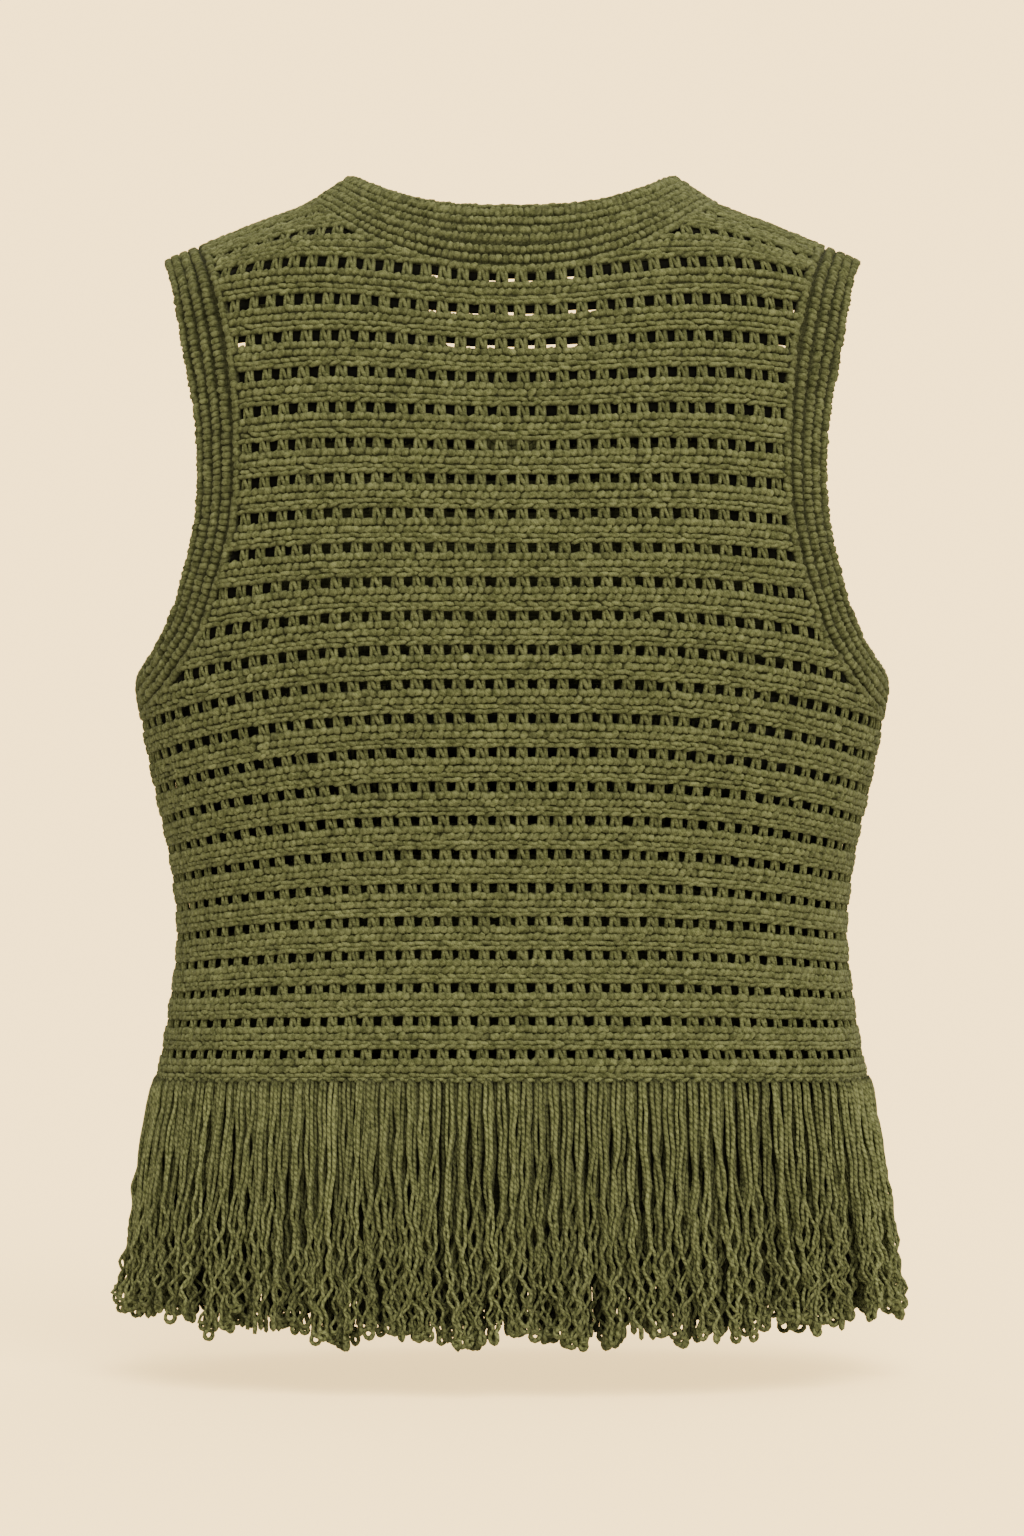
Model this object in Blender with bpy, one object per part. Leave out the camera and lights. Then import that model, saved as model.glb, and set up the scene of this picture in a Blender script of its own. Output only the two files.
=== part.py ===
"""Sleeveless crochet top with a fringed hem, hollow and filled out as when worn.

The cloth lies on one smooth surface. A point on it is named by an angle across the body, 0 at the
centre of a panel and 90 degrees at the side seam, and by a sink, the square root of its drop in
millimetres below the shoulder line, which keeps even steps where the cloth turns over the shoulder.
The rows of crochet are numbered from 1 under the neck band to 24 above the hem.
Lengths are in millimetres here and are turned into metres when a mesh is made.
The back faces -Y, +Z is up, and the origin lies between the shoulders.
"""

import math

import bmesh
import bpy
import numpy as np

MILLIMETRE = 0.001
BACK, FRONT = -1, 1

# Cloth
WALL = 3.0
ROW_RELIEF = 1.1
RIB_RELIEF = 0.9
SEAM_GAP = 0.3
BAND_GAP = 0.4

# Torso sections: how boxy each oval is, and its sizes by height
OVALNESS = 2.3
BODY_SECTIONS = (
    # height, half width, back depth, front depth
    (30, 186, 62, 50),
    (0, 186, 79, 68),
    (-30, 184, 90, 82),
    (-60, 182, 100, 94),
    (-100, 179, 109, 108),
    (-150, 178, 115, 120),
    (-200, 184, 114, 124),
    (-224, 187.5, 112, 121),
    (-250, 184, 108, 115),
    (-280, 178, 103, 107),
    (-315, 170.5, 99, 102),
    (-350, 167.2, 97, 101),
    (-385, 170.7, 99, 105),
    (-424, 177.5, 104, 110),
)

# Shoulder line, and the height in which the cloth turns over it
SHOULDER_LINE = (
    # distance from the centre, height, turn height
    (0, 62, 90),
    (60, 40, 85),
    (81, 27.5, 60),
    (103, 13, 36),
    (125, 4.5, 33),
    (153, -6.5, 32),
    (175, -15, 32),
    (190, -21, 32),
)
NECK_CORNER = (81, 27.5)
NECK_OUTER_CORNER = (103, 13)
SHOULDER_SEAM_END = 152.5
SHOULDER_TIP = 174.5

# Rows of crochet
FIRST_ROW, LAST_ROW = 1, 24
SEAM_ROW, HEM_ROW = -4.5, 24.85
UNDERARM_ROW = 13
FIRST_ROW_HEIGHT = -30.8
ROW_PITCH = 16.26
SAG_REACH = 175
NECK_LIFT, NECK_LIFT_ROWS = 9.5, 4
NECK_LIFT_REACH = 210
ROW_SAG = (
    # row, how much lower it lies at the side than at the centre
    (1, 3),
    (6, 6),
    (9, 8),
    (12, 15.5),
    (15, 18),
    (18, 15.5),
    (21, 10),
    (24, 4),
    (25, 4),
)

# Necklines: lowest height at the centre, and how the edge climbs to the shoulder
NECK_EDGES = {
    # side: (inner low, inner power, outer low, outer power)
    BACK: (6.5, 2.6, -29, 2.2),
    FRONT: (-84, 1.35, -116, 1.35),
}

# Armhole bands from the shoulder seam to the underarm. The first point lies on the shoulder seam
# and the last on the side seam.
ARM_EDGES = {
    BACK: (
        # along, inner edge from centre, its height, outer edge from centre, its height
        (0, SHOULDER_SEAM_END, 0, SHOULDER_TIP, 0),
        (0.12, 142, -31, 167, -38),
        (0.25, 136, -56, 162.5, -64),
        (0.42, 132, -100, 155.5, -102),
        (0.58, 133, -146, 155, -138),
        (0.72, 142, -180, 160.5, -168),
        (0.85, 158, -216, 169.5, -195),
        (0.93, 174, -235, 179.5, -213),
        (1, 184, -244.5, 187.5, -224),
    ),
    FRONT: (
        (0, SHOULDER_SEAM_END, 0, SHOULDER_TIP, 0),
        (0.12, 122, -30, 144, -27),
        (0.25, 107, -56, 130, -48),
        (0.42, 102, -96, 126, -86),
        (0.58, 106, -140, 130, -130),
        (0.72, 121, -178, 142, -164),
        (0.85, 145, -215, 161, -197),
        (0.93, 168, -236, 175.5, -215),
        (1, 184, -244.5, 187.5, -224),
    ),
}

# Mesh steps
LINES = (HEM_ROW, *range(LAST_ROW, UNDERARM_ROW - 1, -1), 12.5, *range(12, -5, -1), SEAM_ROW)
NECK_COLUMNS, SHOULDER_COLUMNS = 16, 3
TOP_FROM_ROW = {BACK: 2, FRONT: 8}
NECK_RIBS, ARM_RIBS = 6, 5

# Fringe
STRANDS_EACH = 56
STRAND_WIDTH, STRAND_THICKNESS = 3.6, 2.6
STRIP_HEIGHT = 4.0
STRAND_LEVELS = (0.25, 0.6, 1.0)
FRINGE_END_SIDE, FRINGE_END_CENTRE = -536, -547
FLARE_SIDE, FLARE_CENTRE, FLARE_POWER = 21, 13, 0.65
END_SCATTER, SWAY, SWAY_TURN = 5, 0.9, 4
END_MARGIN = 1.2
SCATTER_SEEDS = {BACK: 7, FRONT: 11}

YARN = (0.155, 0.16, 0.045, 1)


def smooth(at, keys, values):
    """A smooth curve through a table's points: cubic pieces whose slopes are those of the neighbours."""
    keys, values = np.asarray(keys, float), np.asarray(values, float)
    if keys[0] > keys[-1]:
        keys, values = keys[::-1], values[::-1]
    slopes = np.gradient(values, keys)
    at = np.clip(np.asarray(at, float), keys[0], keys[-1])
    i = np.clip(np.searchsorted(keys, at) - 1, 0, len(keys) - 2)
    step = keys[i + 1] - keys[i]
    f = (at - keys[i]) / step
    return (
        values[i] * (1 + 2 * f) * (1 - f) ** 2
        + slopes[i] * step * f * (1 - f) ** 2
        + values[i + 1] * f**2 * (3 - 2 * f)
        - slopes[i + 1] * step * f**2 * (1 - f)
    )


def body(height, side):
    """The torso's half width and depth at a height."""
    table = np.array(BODY_SECTIONS)
    depth = 2 if side == BACK else 3
    return smooth(height, table[:, 0], table[:, 1]), smooth(height, table[:, 0], table[:, depth])


def signed_power(value, power):
    return np.sign(value) * np.abs(value) ** power


def shoulder(angle):
    """The shoulder line's height above a column, and the height in which the cloth turns there."""
    table = np.array(SHOULDER_LINE)
    across = BODY_SECTIONS[0][1] * np.abs(np.sin(angle)) ** (2 / OVALNESS)
    return smooth(across, table[:, 0], table[:, 1]), smooth(across, table[:, 0], table[:, 2])


def cloth(side, angle, sink):
    """The cloth's outer point: an oval section, drawn in over the shoulder along a quarter ellipse."""
    top, turn = shoulder(angle)
    height = top - sink**2
    half_width, depth = body(height, side)
    part = np.clip(sink**2 / turn, 0, 1)
    drawn_in = np.sign(sink) * np.sqrt(1 - (1 - part) ** 2)
    x = half_width * signed_power(np.sin(angle), 2 / OVALNESS)
    y = side * depth * signed_power(np.cos(angle), 2 / OVALNESS) * drawn_in
    return np.stack([x, y, height + 0 * x], axis=-1)


def outward(side, angle, sink):
    """The unit normal out of the body, from the surface's two slopes."""
    step = 1e-4
    across = cloth(side, angle + step, sink) - cloth(side, angle - step, sink)
    down = cloth(side, angle, sink + step) - cloth(side, angle, sink - step)
    normal = side * np.cross(across, down)
    return normal / np.linalg.norm(normal, axis=-1, keepdims=True)


def level(normal):
    """The same directions with no rise or fall."""
    flat = normal * (1, 1, 0)
    return flat / np.linalg.norm(flat, axis=-1, keepdims=True)


def place(side, x, z):
    """The angle and sink of the cloth's point at a distance from the centre and a height."""
    share = np.clip(np.abs(x) / body(z, side)[0], 0, 1)
    angle = np.sign(x) * np.arcsin(share ** (OVALNESS / 2))
    return angle, np.sqrt(np.maximum(shoulder(angle)[0] - z, 0))


def row_height(row, x):
    """A row's height: even steps down the centre, lower at the sides, and lifted beside the neck."""
    rows, sags = np.array(ROW_SAG).T
    sag = smooth(row, rows, sags) * (np.abs(x) / SAG_REACH) ** 3
    lift = NECK_LIFT * np.exp(-(row - FIRST_ROW) / NECK_LIFT_ROWS)
    lift = lift * np.sin(math.pi * np.clip(np.abs(x) / NECK_LIFT_REACH, 0, 1)) ** 2
    return FIRST_ROW_HEIGHT - ROW_PITCH * (row - FIRST_ROW) + lift - sag


def full_row_sink(side, angle, row):
    """The sink at which a column meets one of the rows below the neck band."""
    height = row_height(row, 0 * angle)
    for _ in range(6):
        x = body(height, side)[0] * np.abs(np.sin(angle)) ** (2 / OVALNESS)
        height = row_height(row, x)
    return np.sqrt(np.maximum(shoulder(angle)[0] - height, 0))


# The angles and rows at which the chart of the rows below is worked out
COLUMN_ANGLES = np.radians(np.linspace(-90, 90, 121))
ROW_STEPS = np.linspace(SEAM_ROW, HEM_ROW, 236)


def row_chart(side):
    """The sink at every column angle and row step. Above row 1 the rows share the way to the seam."""
    chart = np.empty((len(COLUMN_ANGLES), len(ROW_STEPS)))
    above = ROW_STEPS < FIRST_ROW
    for i, angle in enumerate(COLUMN_ANGLES):
        chart[i] = full_row_sink(side, angle, ROW_STEPS)
        first = full_row_sink(side, angle, np.array(float(FIRST_ROW)))
        sinks = np.linspace(0, first, 80)
        way = cloth(side, angle, sinks)
        length = np.concatenate([[0], np.cumsum(np.linalg.norm(np.diff(way, axis=0), axis=1))])
        share = (ROW_STEPS[above] - SEAM_ROW) / (FIRST_ROW - SEAM_ROW)
        chart[i, above] = np.interp(share * length[-1], length, sinks)
    return chart


ROW_CHARTS = {side: row_chart(side) for side in (BACK, FRONT)}


def row_sink(side, angle, row):
    """The sink of a row at any angle, read between the chart's columns."""
    angle, row = np.broadcast_arrays(np.asarray(angle, float), np.asarray(row, float))
    chart = ROW_CHARTS[side]
    a = (angle - COLUMN_ANGLES[0]) / (COLUMN_ANGLES[1] - COLUMN_ANGLES[0])
    r = (row - ROW_STEPS[0]) / (ROW_STEPS[1] - ROW_STEPS[0])
    i = np.clip(a.astype(int), 0, len(COLUMN_ANGLES) - 2)
    j = np.clip(r.astype(int), 0, len(ROW_STEPS) - 2)
    a, r = a - i, r - j
    near = chart[i, j] * (1 - r) + chart[i, j + 1] * r
    far = chart[i + 1, j] * (1 - r) + chart[i + 1, j + 1] * r
    return near * (1 - a) + far * a


def row_of(side, angle, sink):
    """The row at which a point of the cloth lies, by halving."""
    low = np.full(np.shape(angle), float(SEAM_ROW))
    high = np.full(np.shape(angle), float(HEM_ROW))
    for _ in range(30):
        middle = (low + high) / 2
        above = row_sink(side, angle, middle) < sink
        low = np.where(above, middle, low)
        high = np.where(above, high, middle)
    return (low + high) / 2


ALONG = np.linspace(0, 1, 201)


def arm_edge(side, outer):
    """One edge of an armhole band as angles and sinks, from the shoulder seam to the side seam.

    A mirrored point past each seam carries the edge over it without a corner.
    """
    table = np.array(ARM_EDGES[side])
    x, z = table[:, 3 if outer else 1], table[:, 4 if outer else 2]
    angle, sink = place(side, x, z)
    sink[0] = 0
    angle[-1] = math.pi / 2
    sink[-1] = np.sqrt(shoulder(angle[-1])[0] - z[-1])
    along = np.concatenate([[-table[1, 0]], table[:, 0], [2 - table[-2, 0]]])
    angle = np.concatenate([[angle[1]], angle, [math.pi - angle[-2]]])
    sink = np.concatenate([[-sink[1]], sink, [sink[-2]]])
    return smooth(ALONG, along, angle), smooth(ALONG, along, sink)


def arm_along(side, row):
    """How far along the band a row meets its inner edge."""
    angle, sink = arm_edge(side, outer=False)
    rows = row_of(side, angle, sink)
    rows[0], rows[-1] = SEAM_ROW, UNDERARM_ROW
    return np.interp(row, np.maximum.accumulate(rows), ALONG)


def edge_angle(side, row):
    """The angle of a panel's edge at a row: the side seam, or the armhole band's inner edge."""
    at_band = np.interp(arm_along(side, row), ALONG, arm_edge(side, outer=False)[0])
    return np.where(row < UNDERARM_ROW, at_band, math.pi / 2)


def neck_line(side, x, outer):
    """The height of a neckline edge at a distance from the centre."""
    inner_low, inner_power, outer_low, outer_power = NECK_EDGES[side]
    if outer:
        reach, high = NECK_OUTER_CORNER
        return outer_low + (high - outer_low) * (np.abs(x) / reach) ** outer_power
    reach, high = NECK_CORNER
    return inner_low + (high - inner_low) * (np.abs(x) / reach) ** inner_power


def neck_places(side, x, outer):
    """The angles and sinks of a neckline edge. Its ends lie on the shoulder line."""
    angle, sink = place(side, x, neck_line(side, x, outer))
    reach = (NECK_OUTER_CORNER if outer else NECK_CORNER)[0]
    return angle, np.where(np.abs(x) > reach - 1e-6, 0, sink)


def panel_columns():
    """The columns' places across a panel, from -1 at one edge to 1 at the other."""
    corner, end = (
        place(BACK, np.array(float(x)), np.array(0.0))[0]
        for x in (NECK_OUTER_CORNER[0], SHOULDER_SEAM_END)
    )
    corner = float(corner / end)
    middle = np.linspace(-corner, corner, NECK_COLUMNS + 1)
    right = np.linspace(corner, 1, SHOULDER_COLUMNS + 1)[1:]
    return np.concatenate([-right[::-1], middle, right])


COLUMNS = panel_columns()
NECK_PART = slice(SHOULDER_COLUMNS, SHOULDER_COLUMNS + NECK_COLUMNS + 1)


def neck_points(side):
    """The distances from the centre at which the neck band meets the panel's columns, evenly apart."""
    x = np.sin(np.linspace(-math.pi / 2, math.pi / 2, 401)) * NECK_OUTER_CORNER[0]
    edge = cloth(side, *neck_places(side, x, outer=True))
    length = np.concatenate([[0], np.cumsum(np.linalg.norm(np.diff(edge, axis=0), axis=1))])
    return np.interp(np.linspace(0, length[-1], NECK_COLUMNS + 1), length, x)


def panel_rows(side):
    """The row of each grid point of a panel, with the lines above a start row drawn to the neckline."""
    start = TOP_FROM_ROW[side]
    lines = np.array(LINES)
    lines = np.insert(lines, range(1, len(lines)), (lines[1:] + lines[:-1]) / 2)
    top = np.full(len(COLUMNS), float(SEAM_ROW))
    angle, sink = neck_places(side, neck_points(side), outer=True)
    top[NECK_PART] = row_of(side, angle, sink)
    top[[NECK_PART.start, NECK_PART.stop - 1]] = SEAM_ROW
    share = np.clip((start - lines) / (start - SEAM_ROW), 0, 1)[:, None]
    return np.where(share > 0, start - (start - top) * share, lines[:, None])


def panel_angles(side, rows):
    """Each grid point's angle. Above the start row the middle columns bend out to the neckline."""
    start = TOP_FROM_ROW[side]
    share = np.clip((start - rows[:, :1]) / (start - SEAM_ROW), 0, 1)
    edge = edge_angle(side, rows)
    angles = COLUMNS * edge
    neck_angle, _ = neck_places(side, neck_points(side), outer=True)
    from_angle = COLUMNS[NECK_PART] * edge_angle(side, np.array(float(start)))
    bent = from_angle + (neck_angle - from_angle) * share * (2 - share)
    angles[:, NECK_PART] = np.where(share > 0, bent, angles[:, NECK_PART])
    corner = COLUMNS[NECK_PART][-1]
    for hand, shoulder_part in ((-1, slice(0, NECK_PART.start)), (1, slice(NECK_PART.stop, None))):
        corner_angle = angles[:, [NECK_PART.start if hand < 0 else NECK_PART.stop - 1]]
        way = (np.abs(COLUMNS[shoulder_part]) - corner) / (1 - corner)
        angles[:, shoulder_part] = corner_angle + (hand * edge[:, shoulder_part] - corner_angle) * way
    return angles


def halved(points):
    """Every second line becomes the middle of its neighbours, so that an edge runs straight there."""
    points[1:-1:2] = (points[:-2:2] + points[2::2]) / 2


def panel_mesh(side):
    """A panel's wall: rows raised on the outside between the open rows, over a plain inside."""
    rows = panel_rows(side)
    angles = panel_angles(side, rows)
    sinks = row_sink(side, angles, rows)
    sinks[-1] = 0
    sinks[-1, NECK_PART] = neck_places(side, neck_points(side), outer=True)[1]
    skin, normal = cloth(side, angles, sinks), outward(side, angles, sinks)
    low = ROW_RELIEF * (1 + np.cos(2 * math.pi * rows)) / 2
    inside_edges = rows < UNDERARM_ROW
    low[:, [0, -1]] = np.where(inside_edges[:, [0, -1]], 0, low[:, [0, -1]])
    low[[0, -1]] = 0
    normal[0] = level(normal[0])
    outer = skin - normal * low[..., None]
    inner = (skin - normal * WALL)[::2]
    bands = int(np.argmax(rows[:, 0] <= UNDERARM_ROW))
    for edge in (0, -1):
        halved(outer[bands:, edge])
    for grid in (outer, inner):
        grid[..., 1] = side * np.maximum(side * grid[..., 1], SEAM_GAP / 2)
    return wall_faces(outer, inner)


def wall_faces(outer, inner):
    """One closed wall from an outer grid and an inner one with every second line."""
    lines, columns = outer.shape[:2]
    inner_lines = inner.shape[0]
    out = np.arange(lines * columns).reshape(lines, columns)
    ins = lines * columns + np.arange(inner_lines * columns).reshape(inner_lines, columns)
    faces = grid_quads(out) + grid_quads(ins)
    points = np.concatenate([outer.reshape(-1, 3), inner.reshape(-1, 3)])
    for line_out, line_in in ((out[0], ins[0]), (out[-1], ins[-1])):
        for i in range(columns - 1):
            faces += split(points, line_out[i], line_out[i + 1], line_in[i + 1], line_in[i])
    for edge in (0, -1):
        for i in range(inner_lines - 1):
            first, middle, last = out[2 * i : 2 * i + 3, edge]
            faces.append((first, middle, ins[i, edge]))
            faces.append((middle, ins[i + 1, edge], ins[i, edge]))
            faces.append((middle, last, ins[i + 1, edge]))
    return points, faces


def split(points, outer_a, outer_b, inner_b, inner_a):
    """A seam face as two triangles, cut from its farther outer point, the same way on both pieces."""
    if abs(points[outer_a][0]) > abs(points[outer_b][0]):
        return [(outer_a, outer_b, inner_b), (outer_a, inner_b, inner_a)]
    return [(outer_a, outer_b, inner_a), (outer_b, inner_b, inner_a)]


def grid_quads(index):
    """The four-sided faces of a grid of point numbers."""
    corners = (index[:-1, :-1], index[:-1, 1:], index[1:, 1:], index[1:, :-1])
    return list(zip(*(c.ravel() for c in corners)))


def band_section(ribs):
    """A band's cross-section: shares across it, depths below its crown, and which side each is on."""
    share = np.linspace(0, 1, 2 * ribs + 1)
    depth = np.where(np.arange(2 * ribs + 1) % 2, 0, RIB_RELIEF)
    inside = np.full(3, WALL + RIB_RELIEF / 2)
    return np.concatenate([share, [1, 0.5, 0]]), np.concatenate([depth, inside])


def band_ring(side, inner, outer, ribs):
    """The band's cross-section points on each of its lines, as lines x points."""
    share, depth = band_section(ribs)
    angle = inner[0][:, None] * (1 - share) + outer[0][:, None] * share
    sink = inner[1][:, None] * (1 - share) + outer[1][:, None] * share
    points = cloth(side, angle, sink)
    away = points[:, 1] - points[:, 0]
    away /= np.linalg.norm(away, axis=1, keepdims=True)
    ring = points - outward(side, angle, sink) * (depth - RIB_RELIEF / 2)[:, None]
    ring[:, [0, -1]] += away[:, None] * BAND_GAP
    return ring


def loop_faces(rings):
    """A closed tube from cross-sections that follow each other in a loop."""
    count, size = rings.shape[:2]
    index = np.arange(count * size).reshape(count, size)
    index = np.concatenate([index, index[:1]])
    points = rings.reshape(-1, 3)
    faces = grid_quads(index)
    for near, far in zip(index[:-1], index[1:]):
        faces += split(points, near[0], far[0], far[-1], near[-1])
    return points, faces


def arm_band_mesh(hand):
    """One armhole band: down the back from the shoulder, under the arm and up the front."""
    lines = np.array([line for line in LINES[::-1] if line <= UNDERARM_ROW])
    halves = []
    for side in (BACK, FRONT):
        along = arm_along(side, lines)
        edges = [
            tuple(np.interp(along, ALONG, part) for part in arm_edge(side, outer))
            for outer in (False, True)
        ]
        halves.append(band_ring(side, *edges, ARM_RIBS))
    rings = np.concatenate([halves[0], halves[1][-2:0:-1]])
    rings[..., 0] *= hand
    return loop_faces(rings)


def neck_band_mesh():
    """The neck band: across the back from the left shoulder to the right, and back round the front."""
    halves = []
    for side in (BACK, FRONT):
        x = neck_points(side)
        low = neck_places(side, x, outer=True)
        high = neck_places(side, x * NECK_CORNER[0] / NECK_OUTER_CORNER[0], outer=False)
        halves.append(band_ring(side, low, high, NECK_RIBS))
    return loop_faces(np.concatenate([halves[0], halves[1][-2:0:-1]]))


def hem_stations(side):
    """Two points for each strand along the panel's hem, evenly spaced, and the directions out."""
    angles = COLUMNS * math.pi / 2
    sinks = row_sink(side, angles, np.full(angles.shape, float(HEM_ROW)))
    hem = cloth(side, angles, sinks)
    normal = level(outward(side, angles, sinks))
    length = np.concatenate([[0], np.cumsum(np.linalg.norm(np.diff(hem, axis=0), axis=1))])
    margin = END_MARGIN + STRAND_WIDTH / 2
    middles = np.linspace(margin, length[-1] - margin, STRANDS_EACH)
    at = (middles[:, None] + np.array([-1, 1]) * STRAND_WIDTH / 2).ravel()
    points = np.stack([np.interp(at, length, hem[:, i]) for i in range(3)], axis=1)
    directions = np.stack([np.interp(at, length, normal[:, i]) for i in range(3)], axis=1)
    return points, directions


def fringe_mesh(side):
    """A narrow strip under the hem, whose underside grows down into strands that hang apart."""
    hem, normal = hem_stations(side)
    scatter = np.random.default_rng(SCATTER_SEEDS[side])
    top, foot = -SEAM_GAP, -SEAM_GAP - STRIP_HEIGHT
    up = np.array([0, 0, 1.0])
    inner = hem - normal * STRAND_THICKNESS
    points = [hem + up * top, hem + up * foot, inner + up * foot, inner + up * top]
    points = list(np.stack(points, axis=1).reshape(-1, 3))
    faces = []
    for station in range(len(hem) - 1):
        a, b = 4 * station, 4 * station + 4
        faces += [(a, a + 1, b + 1, b), (a + 3, a + 2, b + 2, b + 3), (a, a + 3, b + 3, b)]
        if station % 2:
            faces.append((a + 1, a + 2, b + 2, b + 1))
    last = 4 * (len(hem) - 1)
    faces += [(0, 1, 2, 3), (last, last + 1, last + 2, last + 3)]
    for strand in range(STRANDS_EACH):
        a, b = 8 * strand, 8 * strand + 4
        ring = [a + 1, a + 2, b + 2, b + 1]
        root = np.array([points[i] for i in ring])
        out, across = normal[2 * strand], hem[2 * strand + 1] - hem[2 * strand]
        centred = 1 - (abs(root[:, 0].mean()) / BODY_SECTIONS[-1][1]) ** 2
        end = FRINGE_END_SIDE + (FRINGE_END_CENTRE - FRINGE_END_SIDE) * centred
        flare = FLARE_SIDE + (FLARE_CENTRE - FLARE_SIDE) * centred
        drop = root[0, 2] - end - scatter.uniform(0, END_SCATTER)
        phase = scatter.uniform(0, 2 * math.pi)
        for share in STRAND_LEVELS:
            sway = SWAY * math.sin(phase + SWAY_TURN * share) * share
            moved = root + out * flare * share**FLARE_POWER
            moved = moved + across / STRAND_WIDTH * sway - up * drop * share
            fresh = list(range(len(points), len(points) + 4))
            points += list(moved)
            faces += [(ring[i], ring[i - 1], fresh[i - 1], fresh[i]) for i in range(4)]
            ring = fresh
        faces.append(tuple(ring))
    return np.array(points), faces


def yarn(name, shade):
    """A matt cotton yarn colour."""
    material = bpy.data.materials.new(name)
    material.use_nodes = True
    surface = material.node_tree.nodes["Principled BSDF"]
    surface.inputs["Base Color"].default_value = (*(shade * c for c in YARN[:3]), 1)
    surface.inputs["Roughness"].default_value = 0.9
    surface.inputs["Metallic"].default_value = 0
    return material


def piece(name, mesh, material):
    """One named object from points in millimetres and faces, turned to face out."""
    points, faces = mesh
    data = bpy.data.meshes.new(name)
    data.from_pydata((points * MILLIMETRE).tolist(), [], [tuple(map(int, f)) for f in faces])
    data.materials.append(material)
    made = bmesh.new()
    made.from_mesh(data)
    bmesh.ops.recalc_face_normals(made, faces=made.faces)
    bmesh.ops.triangulate(made, faces=made.faces, quad_method="SHORT_EDGE")
    made.to_mesh(data)
    made.free()
    obj = bpy.data.objects.new(name, data)
    bpy.context.collection.objects.link(obj)
    return obj


for old in list(bpy.data.objects):
    bpy.data.objects.remove(old)

openwork = yarn("openwork_yarn", 1.0)
band_yarn = yarn("band_yarn", 0.95)
fringe_yarn = yarn("fringe_yarn", 0.9)

piece("back_panel", panel_mesh(BACK), openwork)
piece("front_panel", panel_mesh(FRONT), openwork)
piece("neck_band", neck_band_mesh(), band_yarn)
piece("armhole_band_left", arm_band_mesh(-1), band_yarn)
piece("armhole_band_right", arm_band_mesh(1), band_yarn)
piece("fringe_back", fringe_mesh(BACK), fringe_yarn)
piece("fringe_front", fringe_mesh(FRONT), fringe_yarn)
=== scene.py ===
"""A sleeveless crochet top with a fringed hem, worked in heathered olive cotton.

It is put together here as a maker would: the back and the front in solid rows and rows of posts with
gaps between, then the bands round the neck and the armholes, and last the looped yarn of the fringe.
Lengths are in millimetres until a mesh is made. The back faces -Y, and that is the side in the picture.
"""

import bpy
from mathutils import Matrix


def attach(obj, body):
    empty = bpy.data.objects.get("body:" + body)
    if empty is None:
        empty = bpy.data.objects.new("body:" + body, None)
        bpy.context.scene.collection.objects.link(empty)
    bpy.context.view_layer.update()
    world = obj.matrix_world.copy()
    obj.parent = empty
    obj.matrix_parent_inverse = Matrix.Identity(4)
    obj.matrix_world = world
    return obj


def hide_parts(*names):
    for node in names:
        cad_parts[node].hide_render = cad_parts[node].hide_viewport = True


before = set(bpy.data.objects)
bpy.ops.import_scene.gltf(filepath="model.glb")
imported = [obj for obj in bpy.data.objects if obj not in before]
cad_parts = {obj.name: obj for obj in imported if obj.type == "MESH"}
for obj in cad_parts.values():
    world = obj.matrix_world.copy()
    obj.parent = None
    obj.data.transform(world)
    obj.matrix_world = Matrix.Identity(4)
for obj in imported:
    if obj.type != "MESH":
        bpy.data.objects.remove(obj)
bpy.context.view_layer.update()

import math
from functools import partial

import bpy
import numpy as np

# The camera
# It stands level with the middle of the top and looks straight at the back from far off, so that the
# sides are seen almost without perspective.
CAMERA_DISTANCE, CAMERA_HEIGHT, CAMERA_LENS = 2.5, -0.268, 117.19


def placed(name, data):
    """A new object that holds some data, in the scene."""
    made = bpy.data.objects.new(name, data)
    bpy.context.collection.objects.link(made)
    return made


camera = placed("camera", bpy.data.cameras.new("camera"))
camera.data.lens = CAMERA_LENS
camera.location = (0, -CAMERA_DISTANCE, CAMERA_HEIGHT)
camera.rotation_euler = (math.pi / 2, 0, 0)
bpy.context.scene.camera = camera

# The form of the cloth
# The top keeps the round shape of a wearer's torso, so its cloth lies on one smooth surface. A point
# of it is named by an angle across the body and a sink, the square root of its drop below the shoulder
# line in millimetres. Crochet row 1 lies under the back's neck band, and row 24 above the hem.
MILLIMETRE = 0.001
BACK, FRONT = -1, 1
OVALNESS = 2.3
BODY_SECTIONS = np.array([
    # height, half width, back depth, front depth
    (-424, 177.5, 104, 110),
    (-385, 170.7, 99, 105),
    (-350, 167.2, 97, 101),
    (-315, 170.5, 99, 102),
    (-280, 178, 103, 107),
    (-250, 184, 108, 115),
    (-224, 187.5, 112, 121),
    (-200, 184, 114, 124),
    (-150, 178, 115, 120),
    (-100, 179, 109, 108),
    (-60, 182, 100, 94),
    (-30, 184, 90, 82),
    (0, 186, 79, 68),
    (30, 186, 62, 50),
])
SHOULDER_LINE = np.array([
    # distance from the centre, height, turn height
    (0, 62, 90), (60, 40, 85), (81, 27.5, 60), (103, 13, 36), (125, 4.5, 33), (153, -6.5, 32),
    (175, -15, 32), (190, -21, 32),
])
FIRST_ROW, LAST_ROW = 1, 24
SEAM_ROW, HEM_ROW, UNDERARM_ROW = -3.5, 24.85, 12.87
FIRST_ROW_HEIGHT, ROW_PITCH = -30.8, 16.26
SAG_REACH = 175
NECK_LIFT, NECK_LIFT_ROWS, NECK_LIFT_REACH = 9.5, 4, 210
ROW_DROP = np.array([
    # row, how much lower the whole row lies than even steps would put it
    (1, 0), (3, 0.7), (5, 1.2), (8, 2.0), (12, 2.0), (17, 2.4), (21, 1.8), (23, 1.0), (24.85, 0),
])
ROW_SAG = np.array([
    # row, how much lower it lies at the side than at the centre
    (1, 3), (6, 6), (9, 8), (12, 15.5), (15, 18), (18, 15.5), (21, 10), (24, 4), (25, 4),
])


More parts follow.
